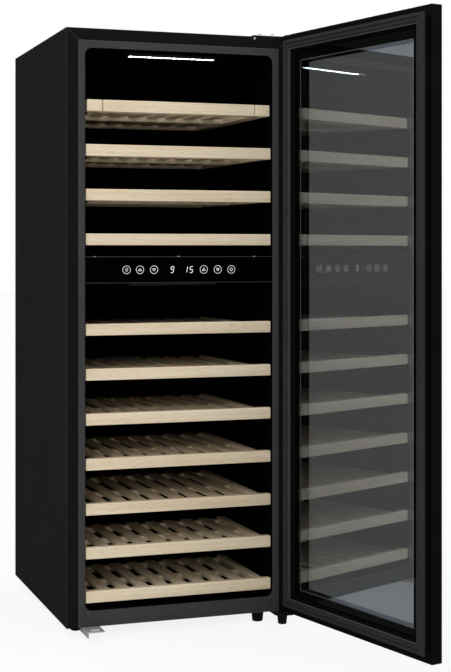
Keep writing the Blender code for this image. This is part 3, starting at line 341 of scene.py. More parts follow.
def add_block(build, low, high, width=0.0, segments=2, surface=0):
    """A block with rounded edges between two corners."""
    part = bmesh.new()
    bmesh.ops.create_cube(part, size=1.0)
    for vertex in part.verts:
        vertex.co = [top if at > 0 else bottom for at, bottom, top in zip(vertex.co, low, high)]
    bevel_edges(part, list(part.edges), width, segments)
    add_part(build, part, surface)


def add_part(build, part, surface=0):
    """Moves a finished part into a bigger one."""
    for face in part.faces:
        face.material_index = surface
    mesh = bpy.data.meshes.new("part")
    part.to_mesh(mesh)
    part.free()
    build.from_mesh(mesh)
    bpy.data.meshes.remove(mesh)


def close_stack(part, rings):
    """Joins each ring of points to the next, and closes both ends."""
    for lower, upper in zip(rings, rings[1:]):
        for step in range(len(lower)):
            after = (step + 1) % len(lower)
            part.faces.new((lower[step], lower[after], upper[after], upper[step]))
    part.faces.new(rings[0])
    part.faces.new(rings[-1])


def add_prism(build, outline, low, high, plane, width=0.0, surface=0):
    """An outline in one plane, made solid between two levels of the third axis."""
    first, second = ("XYZ".index(letter) for letter in plane)
    level = 3 - first - second
    part = bmesh.new()
    rings = []
    for height in (low, high):
        ring = []
        for across, along in outline:
            place = [0.0, 0.0, 0.0]
            place[first], place[second], place[level] = across, along, height
            ring.append(part.verts.new(place))
        rings.append(ring)
    close_stack(part, rings)
    bmesh.ops.recalc_face_normals(part, faces=part.faces)
    corners = [edge for edge in part.edges if edge.calc_face_angle(0.0) > CORNER]
    bevel_edges(part, corners, width, 2)
    add_part(build, part, surface)


def add_lathe(build, profile, centre, axis="Z", steps=48, surface=0, flutes=0, flute_depth=0.0):
    """A solid of revolution from (radius, height) points, from one end of its axis to the other."""
    part = bmesh.new()
    rings = []
    for radius, height in profile:
        ring = []
        for step in range(steps):
            angle = step * math.tau / steps
            reach = radius
            if flutes and radius > 0:
                reach -= flute_depth * (0.5 + 0.5 * math.cos(flutes * angle))
            across, along = reach * math.cos(angle), reach * math.sin(angle)
            ring.append(part.verts.new((across, along, height)))
        rings.append(ring)
    close_stack(part, rings)
    bmesh.ops.remove_doubles(part, verts=part.verts, dist=1e-7)
    turn = Matrix.Translation(centre) @ LATHE_TURN[axis]
    bmesh.ops.transform(part, matrix=turn, verts=part.verts)
    add_part(build, part, surface)


def add_loops(build, loops, surface=0):
    """Closed loops of points, each joined to the next and the last to the first."""
    part = bmesh.new()
    loops = [[part.verts.new(point) for point in loop] for loop in loops]
    for one, loop in enumerate(loops):
        other = loops[(one + 1) % len(loops)]
        for corner in range(len(loop)):
            after = (corner + 1) % len(loop)
            part.faces.new((loop[corner], loop[after], other[after], other[corner]))
    add_part(build, part, surface)


def corners_of(rectangle, y):
    left, right, bottom, top = rectangle
    return [(left, y, bottom), (right, y, bottom), (right, y, top), (left, y, top)]


def add_ring(build, outside, profile, surface=0):
    """A rectangular ring with mitred corners. The profile's points are (inset, y)."""
    left, right, bottom, top = outside
    loops = [
        corners_of((left + inset, right - inset, bottom + inset, top - inset), y)
        for inset, y in profile
    ]
    add_loops(build, loops, surface)


def add_flat_ring(build, outside, inside, near, far, surface=0):
    """A flat ring between two rectangles in the door, with mitred corners."""
    levels = ((outside, near), (outside, far), (inside, far), (inside, near))
    add_loops(build, [corners_of(rectangle, y) for rectangle, y in levels], surface)


def node_piece(node, surface, width=0.0006, segments=2, detail=None, name=None):
    """The CAD node's own shape with rounded edges and, through detail, more features."""
    build = bmesh.new()
    build.from_mesh(frame["nodes"][node].data)
    body = body_of(node)
    place = AT_DOOR if body == "door" else AT_CABINET
    bmesh.ops.transform(build, matrix=place.inverted(), verts=build.verts)
    bmesh.ops.remove_doubles(build, verts=build.verts, dist=1e-6)
    bmesh.ops.dissolve_limit(build, angle_limit=FLAT, verts=build.verts, edges=build.edges)
    edges = [edge for edge in build.edges if edge.calc_face_angle(0.0) > CAD_CORNER]
    bevel_edges(build, edges, width, segments)
    surfaces = [surface]
    if detail:
        surfaces += detail(build)
    place_piece(name or node + "_look", build, surfaces, body, (node,), place)


def screw_profile(radius, height):
    return (
        (0.0, 0.0),
        (radius, 0.0),
        (radius, height * 0.35),
        (radius * 0.82, height * 0.75),
        (radius * 0.5, height * 0.97),
        (radius * 0.36, height),
        (radius * 0.30, height * 0.45),
        (0.0, height * 0.40),
    )


# --- Stage ---

DAYLIGHT = 0.88  # the world's strength on the object
HORIZON = (("From Min", 0.30), ("From Max", 0.80), ("To Min", 0.07), ("To Max", 1.0))
FLOOR_SIZE, FLOOR_LEVEL = 30.0, -0.0005
FLOOR_GLOW = 0.86  # the share of its white that the floor gives by itself
FLOOR_MIRRORED = (0.10, 0.10, 0.10, 1.0)
AIM = (0.0, 0.0, 0.8)
LIGHTS = (("key", (-3.2, -4.2, 3.4), 2.6, 95.0), ("fill", (3.4, -4.6, 2.2), 3.0, 42.0))
CAMERA_PLACE = (-1.2061, -3.6298, 0.9682)
CAMERA_TURN = (90.0, 0.0, -19.254)
CAMERA_LENS, CAMERA_SHIFT = 79.24, -0.1273


def combined(tree, operation, one, other):
    """The clamped sum or difference of two outputs."""
    node = tree.nodes.new("ShaderNodeMath")
    node.operation = operation
    node.use_clamp = True
    tree.links.new(one, node.inputs[0])
    tree.links.new(other, node.inputs[1])
    return node.outputs[0]


def add_world():
    """White where the camera sees it, darker low down in reflections, and plain light elsewhere."""
    world = bpy.data.worlds.new("studio")
    SCENE.world = world
    world.use_nodes = True
    tree = world.node_tree
    back = tree.nodes["Background"]
    path = tree.nodes.new("ShaderNodeLightPath")
    seen = combined(tree, "ADD", path.outputs["Is Camera Ray"], path.outputs["Is Transmission Ray"])
    place = tree.nodes.new("ShaderNodeTexCoord")
    parts = tree.nodes.new("ShaderNodeSeparateXYZ")
    tree.links.new(place.outputs["Generated"], parts.inputs["Vector"])
    mirrored = tree.nodes.new("ShaderNodeMapRange")
    for name, value in HORIZON:
        mirrored.inputs[name].default_value = value
    tree.links.new(parts.outputs["Z"], mirrored.inputs["Value"])
    glossy = tree.nodes.new("ShaderNodeMix")
    glossy.inputs["A"].default_value = DAYLIGHT
    tree.links.new(path.outputs["Is Glossy Ray"], glossy.inputs["Factor"])
    tree.links.new(mirrored.outputs["Result"], glossy.inputs["B"])
    strength = tree.nodes.new("ShaderNodeMix")
    strength.inputs["B"].default_value = 1.0
    tree.links.new(seen, strength.inputs["Factor"])
    tree.links.new(glossy.outputs["Result"], strength.inputs["A"])
    tree.links.new(strength.outputs["Result"], back.inputs["Strength"])
    back.inputs["Color"].default_value = (1.0, 1.0, 1.0, 1.0)


def floor_material():
    """A pale floor, mostly its own white, so that only a soft shadow shows on it."""
    made = new_material("floor_white", (0.95, 0.95, 0.95), 0.8, 0.0, 0.0)
    tree = made.node_tree
    path = tree.nodes.new("ShaderNodeLightPath")
    white = add_node(made, "ShaderNodeEmission", Strength=1.0)
    seen = combined(tree, "ADD", path.outputs["Is Camera Ray"], path.outputs["Is Transmission Ray"])
    share = add_node(made, "ShaderNodeMath")
    share.operation = "MULTIPLY"
    share.inputs[1].default_value = FLOOR_GLOW
    link(made, seen, share.inputs[0])
    mix = tree.nodes.new("ShaderNodeMixShader")
    link(made, share.outputs[0], mix.inputs["Fac"])
    link(made, shader_of(made).outputs["BSDF"], mix.inputs[1])
    link(made, white.outputs["Emission"], mix.inputs[2])
    # A ray that goes through glass counts as glossy too, and has to see the white floor.
    reflected = combined(
        tree, "SUBTRACT", path.outputs["Is Glossy Ray"], path.outputs["Is Transmission Ray"]
    )
    dim = add_node(made, "ShaderNodeEmission", Color=FLOOR_MIRRORED)
    mirrored = tree.nodes.new("ShaderNodeMixShader")
    link(made, reflected, mirrored.inputs["Fac"])
    link(made, mix.outputs["Shader"], mirrored.inputs[1])
    link(made, dim.outputs["Emission"], mirrored.inputs[2])
    link(made, mirrored.outputs["Shader"], tree.nodes["Material Output"].inputs["Surface"])
    return made


def add_floor():
    build = bmesh.new()
    bmesh.ops.create_grid(build, x_segments=2, y_segments=2, size=FLOOR_SIZE)
    mesh = bpy.data.meshes.new("floor")
    build.to_mesh(mesh)
    build.free()
    floor = bpy.data.objects.new("floor", mesh)
    floor.location.z = FLOOR_LEVEL
    SCENE.collection.objects.link(floor)
    mesh.materials.append(floor_material())


def add_lights():
    for name, place, size, power in LIGHTS:
        data = bpy.data.lights.new(name, "AREA")
        data.size = size
        data.energy = power
        lamp = bpy.data.objects.new(name, data)
        lamp.location = place
        lamp.visible_glossy = False
        lamp.rotation_euler = (Vector(AIM) - Vector(place)).to_track_quat("-Z", "Y").to_euler()
        SCENE.collection.objects.link(lamp)


def add_camera():
    data = bpy.data.cameras.new("camera")
    data.sensor_width = 36.0
    data.lens = CAMERA_LENS
    data.shift_y = CAMERA_SHIFT
    camera = bpy.data.objects.new("camera", data)
    camera.location = CAMERA_PLACE
    camera.rotation_euler = [math.radians(angle) for angle in CAMERA_TURN]
    SCENE.collection.objects.link(camera)
    SCENE.camera = camera
    SCENE.view_settings.view_transform = "Standard"


# --- Casing ---

REAR_LIP = 0.012  # width of the sides' rear fold
CUT_SPARE = 0.01  # how far a side is drawn past its mitre before the cut
MITRE_GAP = 0.0004


def arc(centre, radius, start, end, steps=6):
    """Points on an arc, with its angles in degrees."""
    found = []
    for step in range(steps + 1):
        angle = math.radians(start + (end - start) * step / steps)
        found.append((centre[0] + radius * math.cos(angle), centre[1] + radius * math.sin(angle)))
    return found


def slice_off(part, point, normal):
    """Removes what lies beyond a plane, and closes the cut."""
    geometry = [*part.verts, *part.edges, *part.faces]
    plane = {"plane_co": point, "plane_no": normal}
    cut = bmesh.ops.bisect_plane(part, geom=geometry, clear_outer=True, **plane)
    edges = [item for item in cut["geom_cut"] if isinstance(item, bmesh.types.BMEdge)]
    bmesh.ops.contextual_create(part, geom=edges)


def paint_casing(build, outward, along):
    """Painted shade (darker paint) on the front face, painted highlight along its fold and mitre.
    """
    for face in build.faces:
        depth = face.calc_center_median().y
        # Faces on the front take the darker paint, as painted shade.
        face.material_index = 1 if depth < BEND * 0.3 else 0
        # Faces of the front fold that slant at about 45 degrees take the painted highlight.
        slanted = abs(abs(face.normal[outward]) - 0.7) < 0.25 and abs(face.normal[along]) < 0.1
        if depth < BEND and slanted:
            face.material_index = 2


def place_casing(name, build, node):
    surfaces = [SIDE_PAINT, FRONT_SHADED_PAINT, CASING_EDGE_HIGHLIGHT]
    place_piece(name, build, surfaces, "cabinet", (node,))


def casing_sides():
    """Each side folds round at the front and the back, and is mitred at its top."""
    for side, across in (("left", lambda inward: inward), ("right", lambda inward: WIDTH - inward)):
        outline = [(FLANGE, 0.0)]
        outline += arc((BEND, BEND), BEND, 270, 180)
        outline += arc((BEND, DEPTH - BEND), BEND, 180, 90)
        outline += [(REAR_LIP, DEPTH), (REAR_LIP, DEPTH - SHEET)]
        outline += arc((BEND, DEPTH - BEND), BEND - SHEET, 90, 180)
        outline += arc((BEND, BEND), BEND - SHEET, 180, 270)
        outline += [(FLANGE, SHEET)]
        build = bmesh.new()
        outline = [(across(x), y) for x, y in outline]
        add_prism(build, outline, 0.0, HEIGHT + CUT_SPARE, "XY")
        normal = Vector((across(1.0) - across(0.0), 0.0, 1.0))
        slice_off(build, Vector((across(0.0), 0.0, HEIGHT - MITRE_GAP)), normal)
        paint_casing(build, 0, 2)
        place_casing(f"casing_{side}", build, f"side_panel_{side}")


def casing_top():
    """The top folds down at the front, mitred at both corners, with a light line on each mitre."""
    back = local_box("top_panel")[1].y
    outline = [(0.0, HEIGHT - FLANGE)]
    outline += arc((BEND, HEIGHT - BEND), BEND, 180, 90)
    outline += [(back, HEIGHT), (back, HEIGHT - SHEET)]
    outline += arc((BEND, HEIGHT - BEND), BEND - SHEET, 90, 180)
    outline += [(SHEET, HEIGHT - FLANGE)]
    build = bmesh.new()
    add_prism(build, outline, 0.0, WIDTH, "YZ")
    slice_off(build, Vector((0.0, 0.0, HEIGHT)), Vector((-1.0, 0.0, -1.0)))
    slice_off(build, Vector((WIDTH, 0.0, HEIGHT)), Vector((1.0, 0.0, -1.0)))
    paint_casing(build, 2, 0)
    half, start, relief = 0.0005, 0.0015, 0.00015
    # A thin lighter strip on each mitre, as a painted highlight.
    for corner, inward in ((0.0, 1), (WIDTH, -1)):
        points = [
            (corner + inward * (start - half), HEIGHT - start - half),
            (corner + inward * (start + half), HEIGHT - start + half),
            (corner + inward * (FLANGE + half), HEIGHT - FLANGE + half),
            (corner + inward * (FLANGE - half), HEIGHT - FLANGE - half),
        ]
        add_prism(build, points, relief, -relief, "XZ", 0.0, 2)
    place_casing("casing_top", build, "top_panel")


def plain_nodes():
    """CAD nodes whose shape is right, with their materials."""
    for name, surface in (
        ("insulation_left", FOAM),
        ("insulation_right", FOAM),
        ("insulation_top", FOAM),
        ("insulation_rear", FOAM),
        ("insulation_base", FOAM),
        ("base_pan", ZINC),
        ("zone_divider", DUCT_BLACK),
        ("door_outer_glass", OUTER_PANE),
        ("door_inner_glass", INNER_PANE),
    ):
        node = frame["nodes"][name]
        node.data.materials.clear()
        node.data.materials.append(surface)


# --- Liner and shelves ---

CAVITY_LEFT = local_box("kick_panel")[0].x
JOINT = 0.0016  # groove beside the top shelf's rail
SLAT_WIDTH, SLAT_PITCH, SLAT_DROP, SLAT_THICKNESS = 0.030, 0.052, 0.012, 0.008
SIDE_RAIL, SIDE_DROP = 0.022, 0.010
RAIL_INSET = 0.020  # only the top shelf's front rail starts this far in
BAR_DEPTH, BAR_COUNT = 0.026, 3
WOOD_ROUND, SLAT_ROUND = 0.0024, 0.0012


def paint_faces(build, surface, chosen):
    for face in build.faces:
        if chosen(face):
            face.material_index = surface


def liner():
    """The liner, with its cavity's front edge well rounded and a grey front flange."""
    low, high = local_box("inner_liner")

    def detail(build):
        edge = 0.0009
        paint_faces(build, 1, lambda face: face.calc_center_median().y < edge)
        # A thin lighter ring round the front flange's outer edge, as a painted highlight.
        add_ring(
            build,
            (low.x, high.x, low.z, high.z),
            ((0.0, -0.0002), (0.0, 0.0004), (edge, 0.0004), (edge, -0.0002)),
            2,
        )
        return [LINER_GREY, LINER_EDGE_HIGHLIGHT]

    node_piece("inner_liner", LINER_BLACK, 0.0008, 3, detail=detail, name="liner")


def kick_panel():
    low, high = local_box("kick_panel")
    build = bmesh.new()
    add_block(build, low, high, 0.0003, 2)
    place_piece("kick_cover", build, [KICK_GREY], "cabinet", ("kick_panel",))


def rails_and_trays():
    for node in sorted(frame["nodes"]):
        if node.startswith("shelf_front"):
            number = node[-2:]
            low, high = local_box(node)
            if low.x > CAVITY_LEFT + RAIL_INSET:
                low.x, high.x = low.x + JOINT / 2, high.x - JOINT / 2
            build = bmesh.new()
            add_block(build, low, high, WOOD_ROUND, 4)
            # The rounded top and bottom edges of the rail's front take the lighter beech, a painted
            # highlight.
            paint_faces(build, 1, lambda face: face.normal.y < -0.2 and abs(face.normal.z) > 0.35)
            surfaces = [WOOD_X, WOOD_EDGE_HIGHLIGHT]
            place_piece(f"rail_{number}", build, surfaces, body_of(node), (node,))
            tray(number)


def tray(number):
    """Boards from front to back on cross bars, between two side rails.

    The top shelf's side rails are wide and run to the front, beside its shorter front rail.
    """
    node = f"shelf_tray_{number}"
    low, high = local_box(node)
    rail_low, rail_high = local_box(f"shelf_front_{number}")
    bottom, top = low.z, rail_high.z
    wide = low.y < rail_high.y - 0.005
    side = rail_low.x - low.x - JOINT / 2 if wide else SIDE_RAIL
    start = rail_high.y + GAP
    side_top = top if wide else top - SIDE_DROP
    slat_top = top - SLAT_DROP
    build = bmesh.new()
    for left, right in ((low.x, low.x + side), (high.x - side, high.x)):
        add_block(build, (left, low.y, bottom), (right, high.y, side_top), WOOD_ROUND, 3)
    inner = high.x - low.x - 2 * side
    count = int((inner - SLAT_WIDTH / 2) / SLAT_PITCH)
    first = MIDDLE - (count - 1) * SLAT_PITCH / 2
    middles = [first + index * SLAT_PITCH for index in range(count)]
    for middle in middles:
        near = (middle - SLAT_WIDTH / 2, start, slat_top - SLAT_THICKNESS)
        far = (middle + SLAT_WIDTH / 2, high.y, slat_top)
        add_block(build, near, far, SLAT_ROUND, 2)
    spacing = (high.y - start - BAR_DEPTH) / (BAR_COUNT - 1)
    for index in range(BAR_COUNT):
        along = start + index * spacing
        near = (low.x + side / 2, along, bottom)
        far = (high.x - side / 2, along + BAR_DEPTH, slat_top - SLAT_THICKNESS / 2)
        add_block(build, near, far, SLAT_ROUND, 2, 1)
        if index:
            for middle in middles:
                add_screw_up(build, middle, along + BAR_DEPTH / 2, slat_top)
    surfaces = [WOOD_Y, WOOD_X, BRIGHT_STEEL]
    place_piece(f"tray_{number}", build, surfaces, body_of(node), (node,))


def add_screw_up(build, across, along, height):
    """A countersunk screw head that stands a little proud of a board."""
    profile = (
        (0.0, -0.0005),
        (0.0030, -0.0005),
        (0.0029, 0.0001),
        (0.0024, 0.0004),
        (0.0010, 0.0005),
        (0.0008, 0.0001),
        (0.0, 0.0001),
    )
    add_lathe(build, profile, (across, along, height), "Z", 12, 2)


# --- Control panel ---

ICON_DEPTH = 0.0002
ICON_RADIUS, ICON_LINE = 0.0104, 0.0008
PANEL_LOW, PANEL_HIGH = local_box("control_panel")
PANEL_MIDDLE = (PANEL_LOW.z + PANEL_HIGH.z) / 2
# Distances from the panel's left end.
KEYS = (
    (0.107, "lamp"),
    (0.142, "up"),
    (0.179, "down"),
    (0.312, "up"),
    (0.350, "down"),
    (0.387, "diamond"),
)
FIGURES = ((0.2225, "9"), (0.2585, "1"), (0.2735, "5"))
FIGURE_TALL, FIGURE_WIDE, FIGURE_LINE, FIGURE_SLANT = 0.0155, 0.0076, 0.0014, 0.16
CLIPS = (0.024, 0.244, 0.450)


def circle(across, height, radius, steps):
    angles = [step * math.tau / steps for step in range(steps)]
    return [(across + radius * math.cos(turn), height + radius * math.sin(turn)) for turn in angles]


def icon_ring(build, across, height, radius, line, steps=32):
    outside = circle(across, height, radius, steps)
    inside = circle(across, height, radius - line, steps)
    front, back = PANEL_LOW.y - ICON_DEPTH, PANEL_LOW.y + ICON_DEPTH
    levels = ((outside, front), (inside, front), (inside, back), (outside, back))
    add_loops(build, [[(x, level, z) for x, z in outline] for outline, level in levels], 1)


def icon_stroke(build, one, other, line):
    """A straight stroke between two points of the panel's face."""
    one, other = Vector(one), Vector(other)
    side = (other - one).normalized().orthogonal() * line / 2
    points = (one + side, other + side, other - side, one - side)
    front, back = PANEL_LOW.y - ICON_DEPTH, PANEL_LOW.y + ICON_DEPTH
    add_prism(build, points, front, back, "XZ", 0.0, 1)


SEGMENTS = {"1": "bc", "5": "acdfg", "9": "abcdfg"}


def figure(build, digit, left):
    """A slanted seven-segment figure."""
    width, height, half = FIGURE_WIDE, FIGURE_TALL, FIGURE_TALL / 2
    bottom = PANEL_MIDDLE - half
    gap = FIGURE_LINE * 0.55
    ends = {
        "a": ((gap, height), (width - gap, height)),
        "b": ((width, height - gap), (width, half + gap)),
        "c": ((width, half - gap), (width, gap)),
        "d": ((gap, 0.0), (width - gap, 0.0)),
        "f": ((0.0, height - gap), (0.0, half + gap)),
        "g": ((gap, half), (width - gap, half)),
    }
    for segment in SEGMENTS[digit]:
        one, other = ((left + x + FIGURE_SLANT * z, bottom + z) for x, z in ends[segment])
        icon_stroke(build, one, other, FIGURE_LINE)


def key_icon(build, kind, at):
    """The sign inside a touch key's ring: an arrow, a lamp or a diamond."""
    middle = PANEL_MIDDLE
    if kind in ("up", "down"):
        way = 1 if kind == "up" else -1
        reach = 0.0042
        foot, tip = middle - way * reach * 0.60, middle + way * reach * 0.85
        left, right, point = (at - reach, foot), (at + reach, foot), (at, tip)
        for one, other in ((left, right), (left, point), (right, point)):
            icon_stroke(build, one, other, 0.0010)
    elif kind == "lamp":
        icon_ring(build, at, middle + 0.0008, 0.0036, 0.0008, 20)
        level = middle - 0.0046
        icon_stroke(build, (at - 0.0018, level), (at + 0.0018, level), 0.0008)
    else:
        reach = 0.0042
        for way in (1, -1):
            icon_stroke(build, (at - reach, middle), (at, middle + way * reach), 0.0009)
            icon_stroke(build, (at + reach, middle), (at, middle + way * reach), 0.0009)


def control_panel():
    """A gloss black strip with touch keys, figures, a light line on its edges and three clips."""
    low, high = PANEL_LOW, PANEL_HIGH
    build = bmesh.new()
    add_block(build, low, high, 0.0009, 3)
    for across, kind in KEYS:
        icon_ring(build, low.x + across, PANEL_MIDDLE, ICON_RADIUS, ICON_LINE)
        key_icon(build, kind, low.x + across)
    for across, digit in FIGURES:
        figure(build, digit, low.x + across)
    # Lighter strips along the top and bottom edges, as a painted highlight.
    for edge in (low.z + 0.0012, high.z - 0.0012):
        near = (low.x + 0.002, low.y - 0.0001, edge - 0.0005)
        far = (high.x - 0.002, low.y + 0.0003, edge + 0.0005)
        add_block(build, near, far, surface=2)
    for across in CLIPS:
        near = (low.x + across - 0.003, low.y - 0.0002, high.z - 0.0012)
        far = (low.x + across + 0.003, low.y + 0.0020, high.z + 0.0004)
        add_block(build, near, far, 0.0002, 1, 3)
    place_piece(
        "control_panel_look",
        build,
        [PANEL_BLACK, ICON_LIGHT, PANEL_EDGE_HIGHLIGHT, STEEL],
        "cabinet",
        ("control_panel",),
    )


CHIPS = 14
CHIP_HALF_WIDTH, CHIP_HALF_DEPTH = 0.0055, 0.0095


def lamps():
    """Light bars: a case with a lit diffuser, and brighter spots over its diodes."""
    wall, end, recess = 0.0016, 0.0050, 0.0016
    for node in ("light_bar_upper", "light_bar_lower"):
        low, high = local_box(node)
        build = bmesh.new()
        add_block(build, (low.x, low.y, high.z - 0.0030), high, 0.0010, 2)
        for one, other in (
            ((low.x, low.y), (high.x, low.y + wall)),
            ((low.x, high.y - wall), (high.x, high.y)),
            ((low.x, low.y), (low.x + end, high.y)),
            ((high.x - end, low.y), (high.x, high.y)),
        ):
            add_block(build, (*one, low.z), (*other, high.z - 0.0010), 0.0005, 2)
        near = (low.x + end / 2, low.y + wall / 2, low.z + recess)
        far = (high.x - end / 2, high.y - wall / 2, high.z - 0.0020)
        add_block(build, near, far, surface=1)
        pitch = (high.x - low.x - 2 * end) / CHIPS
        along = (low.y + high.y) / 2
        for index in range(CHIPS):
            middle = low.x + end + (index + 0.5) * pitch
            near = (middle - CHIP_HALF_WIDTH, along - CHIP_HALF_DEPTH, low.z + recess - 0.0003)
            far = (middle + CHIP_HALF_WIDTH, along + CHIP_HALF_DEPTH, low.z + recess + 0.0010)
            add_block(build, near, far, 0.0004, 2, 2)
        surfaces = [LAMP_CASE, LAMP_LIGHT, CHIP_LIGHT]
        place_piece(node + "_look", build, surfaces, "cabinet", (node,))


# --- Door ---

# Insets from the outer pane: free side, hinge side, bottom, top.
BORDER_WINDOW = (0.087, 0.079, 0.071, 0.076)
ENAMEL_WINDOW = (0.078, 0.063, 0.066, 0.070)
ENAMEL_HIGHLIGHT_LINE = (0.0772, 0.0622, 0.0652, 0.0692)
SPACER_OUTSIDE = (0.066, 0.066, 0.058, 0.062)
SPACER_WINDOW = (0.076, 0.085, 0.065, 0.069)
DOT_INSETS, DOT_PITCH = (0.071, 0.080), 0.0062
PANE_EDGE = 0.0006  # how far the black prints stop from a pane's edge
GASKET_WIDTH, GASKET_LIP_WIDTH = 0.025, 0.0013


def door():
    """The door's frame, its gasket, and the black prints and the spacer round its two panes."""
    glass_low, glass_high = local_box("door_outer_glass", AT_DOOR)
    inner_low, inner_high = local_box("door_inner_glass", AT_DOOR)
    seal_low, seal_high = local_box("door_gasket", AT_DOOR)

    node_piece("door_frame", DOOR_BLACK, 0.0006, 2)

    build = bmesh.new()
    near, far = seal_low.y, seal_high.y
    # The seal's ribbed section, from its outer edge inward.
    profile = (
        (0.0, near),
        (0.0, near + 0.0042),
        (0.0012, near + 0.0052),
        (0.0030, near + 0.0052),
        (0.0040, near + 0.0064),
        (0.0046, far - 0.0012),
        (0.0058, far),
        (0.0086, far),
        (0.0098, far - 0.0012),
        (0.0104, near + 0.0074),
        (0.0116, near + 0.0070),
        (0.0128, near + 0.0074),
        (0.0134, far - 0.0022),
        (0.0146, far - 0.0012),
        (0.0184, far - 0.0012),
        (0.0196, far - 0.0022),
        (0.0204, near + 0.0058),
        (0.0216, near + 0.0048),
        (0.0236, near + 0.0044),
        (GASKET_WIDTH, near + 0.0034),
        (GASKET_WIDTH, near),
    )
    outside = (seal_low.x, seal_high.x, seal_low.z, seal_high.z)
    add_ring(build, outside, profile)
    # A lighter strip on the seal's inner edge, as a painted highlight.
    lip = GASKET_WIDTH - GASKET_LIP_WIDTH
    profile = (
        (lip, near + 0.0030),
        (lip, near + 0.0050),
        (GASKET_WIDTH, near + 0.0050),
        (GASKET_WIDTH, near + 0.0030),
    )
    add_ring(build, outside, profile, 1)
    surfaces, nodes = [GASKET, GASKET_HIGHLIGHT], ("door_gasket",)
    place_piece("gasket", build, surfaces, "door", nodes, AT_DOOR, 25.0)

    def window(insets):
        return frame_window(glass_low, glass_high, *insets)

    back = glass_high.y
    build = bmesh.new()
    outside = frame_window(glass_low, glass_high, *[PANE_EDGE] * 4)
    add_flat_ring(build, outside, window(BORDER_WINDOW), back + 0.00005, back + 0.00025)
    place_piece("printed_border", build, [BORDER_BLACK], "door", (), AT_DOOR)

    face = inner_high.y
    build = bmesh.new()
    outside = frame_window(inner_low, inner_high, *[PANE_EDGE] * 4)
    inside = window(ENAMEL_WINDOW)
    add_flat_ring(build, outside, inside, face + 0.00005, face + 0.00025)
    # A thin lighter line at the enamel's inner edge, as a painted highlight on the bead.
    add_flat_ring(build, window(ENAMEL_HIGHLIGHT_LINE), inside, face + 0.00002, face + 0.00035, 1)
    surfaces = [ENAMEL, BEAD_HIGHLIGHT]
    place_piece("inner_pane_enamel", build, surfaces, "door", (), AT_DOOR)

    build = bmesh.new()
    outside = window(SPACER_OUTSIDE)
    near, far = back + 0.0008, inner_low.y - GAP
    add_flat_ring(build, outside, window(SPACER_WINDOW), near, far)
    bottom, top = outside[2] + 0.010, outside[3] - 0.010
    count = int((top - bottom) / DOT_PITCH)
    # Near-black dots on the spacer: its holes, with their insides as painted shade.
    for inset in DOT_INSETS:
        edge = glass_high.x - inset
        for index in range(count):
            height = bottom + index * DOT_PITCH
            dot_low = (edge - 0.0011, far - 0.0002, height - 0.0017)
            dot_high = (edge + 0.0011, far + 0.0001, height + 0.0017)
            add_block(build, dot_low, dot_high, surface=1)
    surfaces = [SPACER_GREY, SPACER_HOLE_SHADE]
    place_piece("pane_spacer", build, surfaces, "door", (), AT_DOOR)


def frame_window(low, high, free, hinge, bottom, top):
    """A rectangle in the door, as (left, right, bottom, top), from insets on its four sides."""
    return low.x + free, high.x - hinge, low.z + bottom, high.z - top


# --- Hinges, bracket, feet ---


def hinges():
    low, high = local_box("hinge_bracket_top")

    def top_detail(build):
        head = screw_profile(0.0048, 0.0014)
        for across in (low.x + 0.0100, low.x + 0.045):
            add_lathe(build, head, (across, low.y + 0.0180, high.z - 0.0001), "Z", 24, 1)
        facing = [(radius, -height) for radius, height in screw_profile(0.0030, 0.0012)]
        add_lathe(build, facing, (low.x + 0.0030, 0.0001, HEIGHT - 0.0055), "Y", 20, 1)
        return [BRIGHT_STEEL]

    def bottom_detail(build):
        paint_faces(build, 1, lambda face: face.calc_center_median().z > 0.0)
        return [BRIGHT_STEEL]

    node_piece("hinge_bracket_top", HINGE_PAINT, 0.0005, 2, detail=top_detail)
    node_piece("hinge_bracket_bottom", HINGE_PAINT, 0.0005, 2, detail=bottom_detail)
    node_piece("corner_bracket", STEEL, 0.0004, 2)


FOOT_STEPS, FOOT_FLUTES, FLUTE_DEPTH = 96, 16, 0.05


def feet():
    for node in sorted(frame["nodes"]):
        if not node.startswith("foot_"):
            continue
        low, high = local_box(node)
        radius = (high.x - low.x) / 2
        tall = high.z - low.z
        build = bmesh.new()
        profile = (
            (0.0, 0.0),
            (radius * 0.78, 0.0),
            (radius * 0.84, tall * 0.03),
            (radius * 0.87, tall * 0.07),
            (radius * 0.94, tall * 0.48),
            (radius * 0.985, tall * 0.70),
            (radius, tall * 0.74),
            (radius, tall * 0.93),
            (radius * 0.97, tall * 0.97),
            (radius * 0.50, tall * 0.985),
            (radius * 0.34, tall),
            (0.0, tall),
        )
        centre = ((low.x + high.x) / 2, (low.y + high.y) / 2, low.z)
        flute = radius * FLUTE_DEPTH
        add_lathe(build, profile, centre, "Z", FOOT_STEPS, 0, FOOT_FLUTES, flute)
        body = body_of(node)
        place_piece(node + "_look", build, [FOOT_BLACK], body, (node,))


# --- Back and machine room ---

RIB_MARGIN, RIB_PITCH = 0.060, 0.110
RIB_RADIUS = 0.0075
REAR_SCREW = screw_profile(0.0040, 0.0011)
COVER_SCREW = screw_profile(0.0042, 0.0012)
STRIP_SCREW = screw_profile(0.0040, 0.0012)
CONDENSER_BACK = 0.020  # from the condenser's rear face to its tubes
TUBE_RADIUS, TUBE_PITCH = 0.0035, 0.024
FIN_PITCH, FIN_THICKNESS = 0.0042, 0.0004


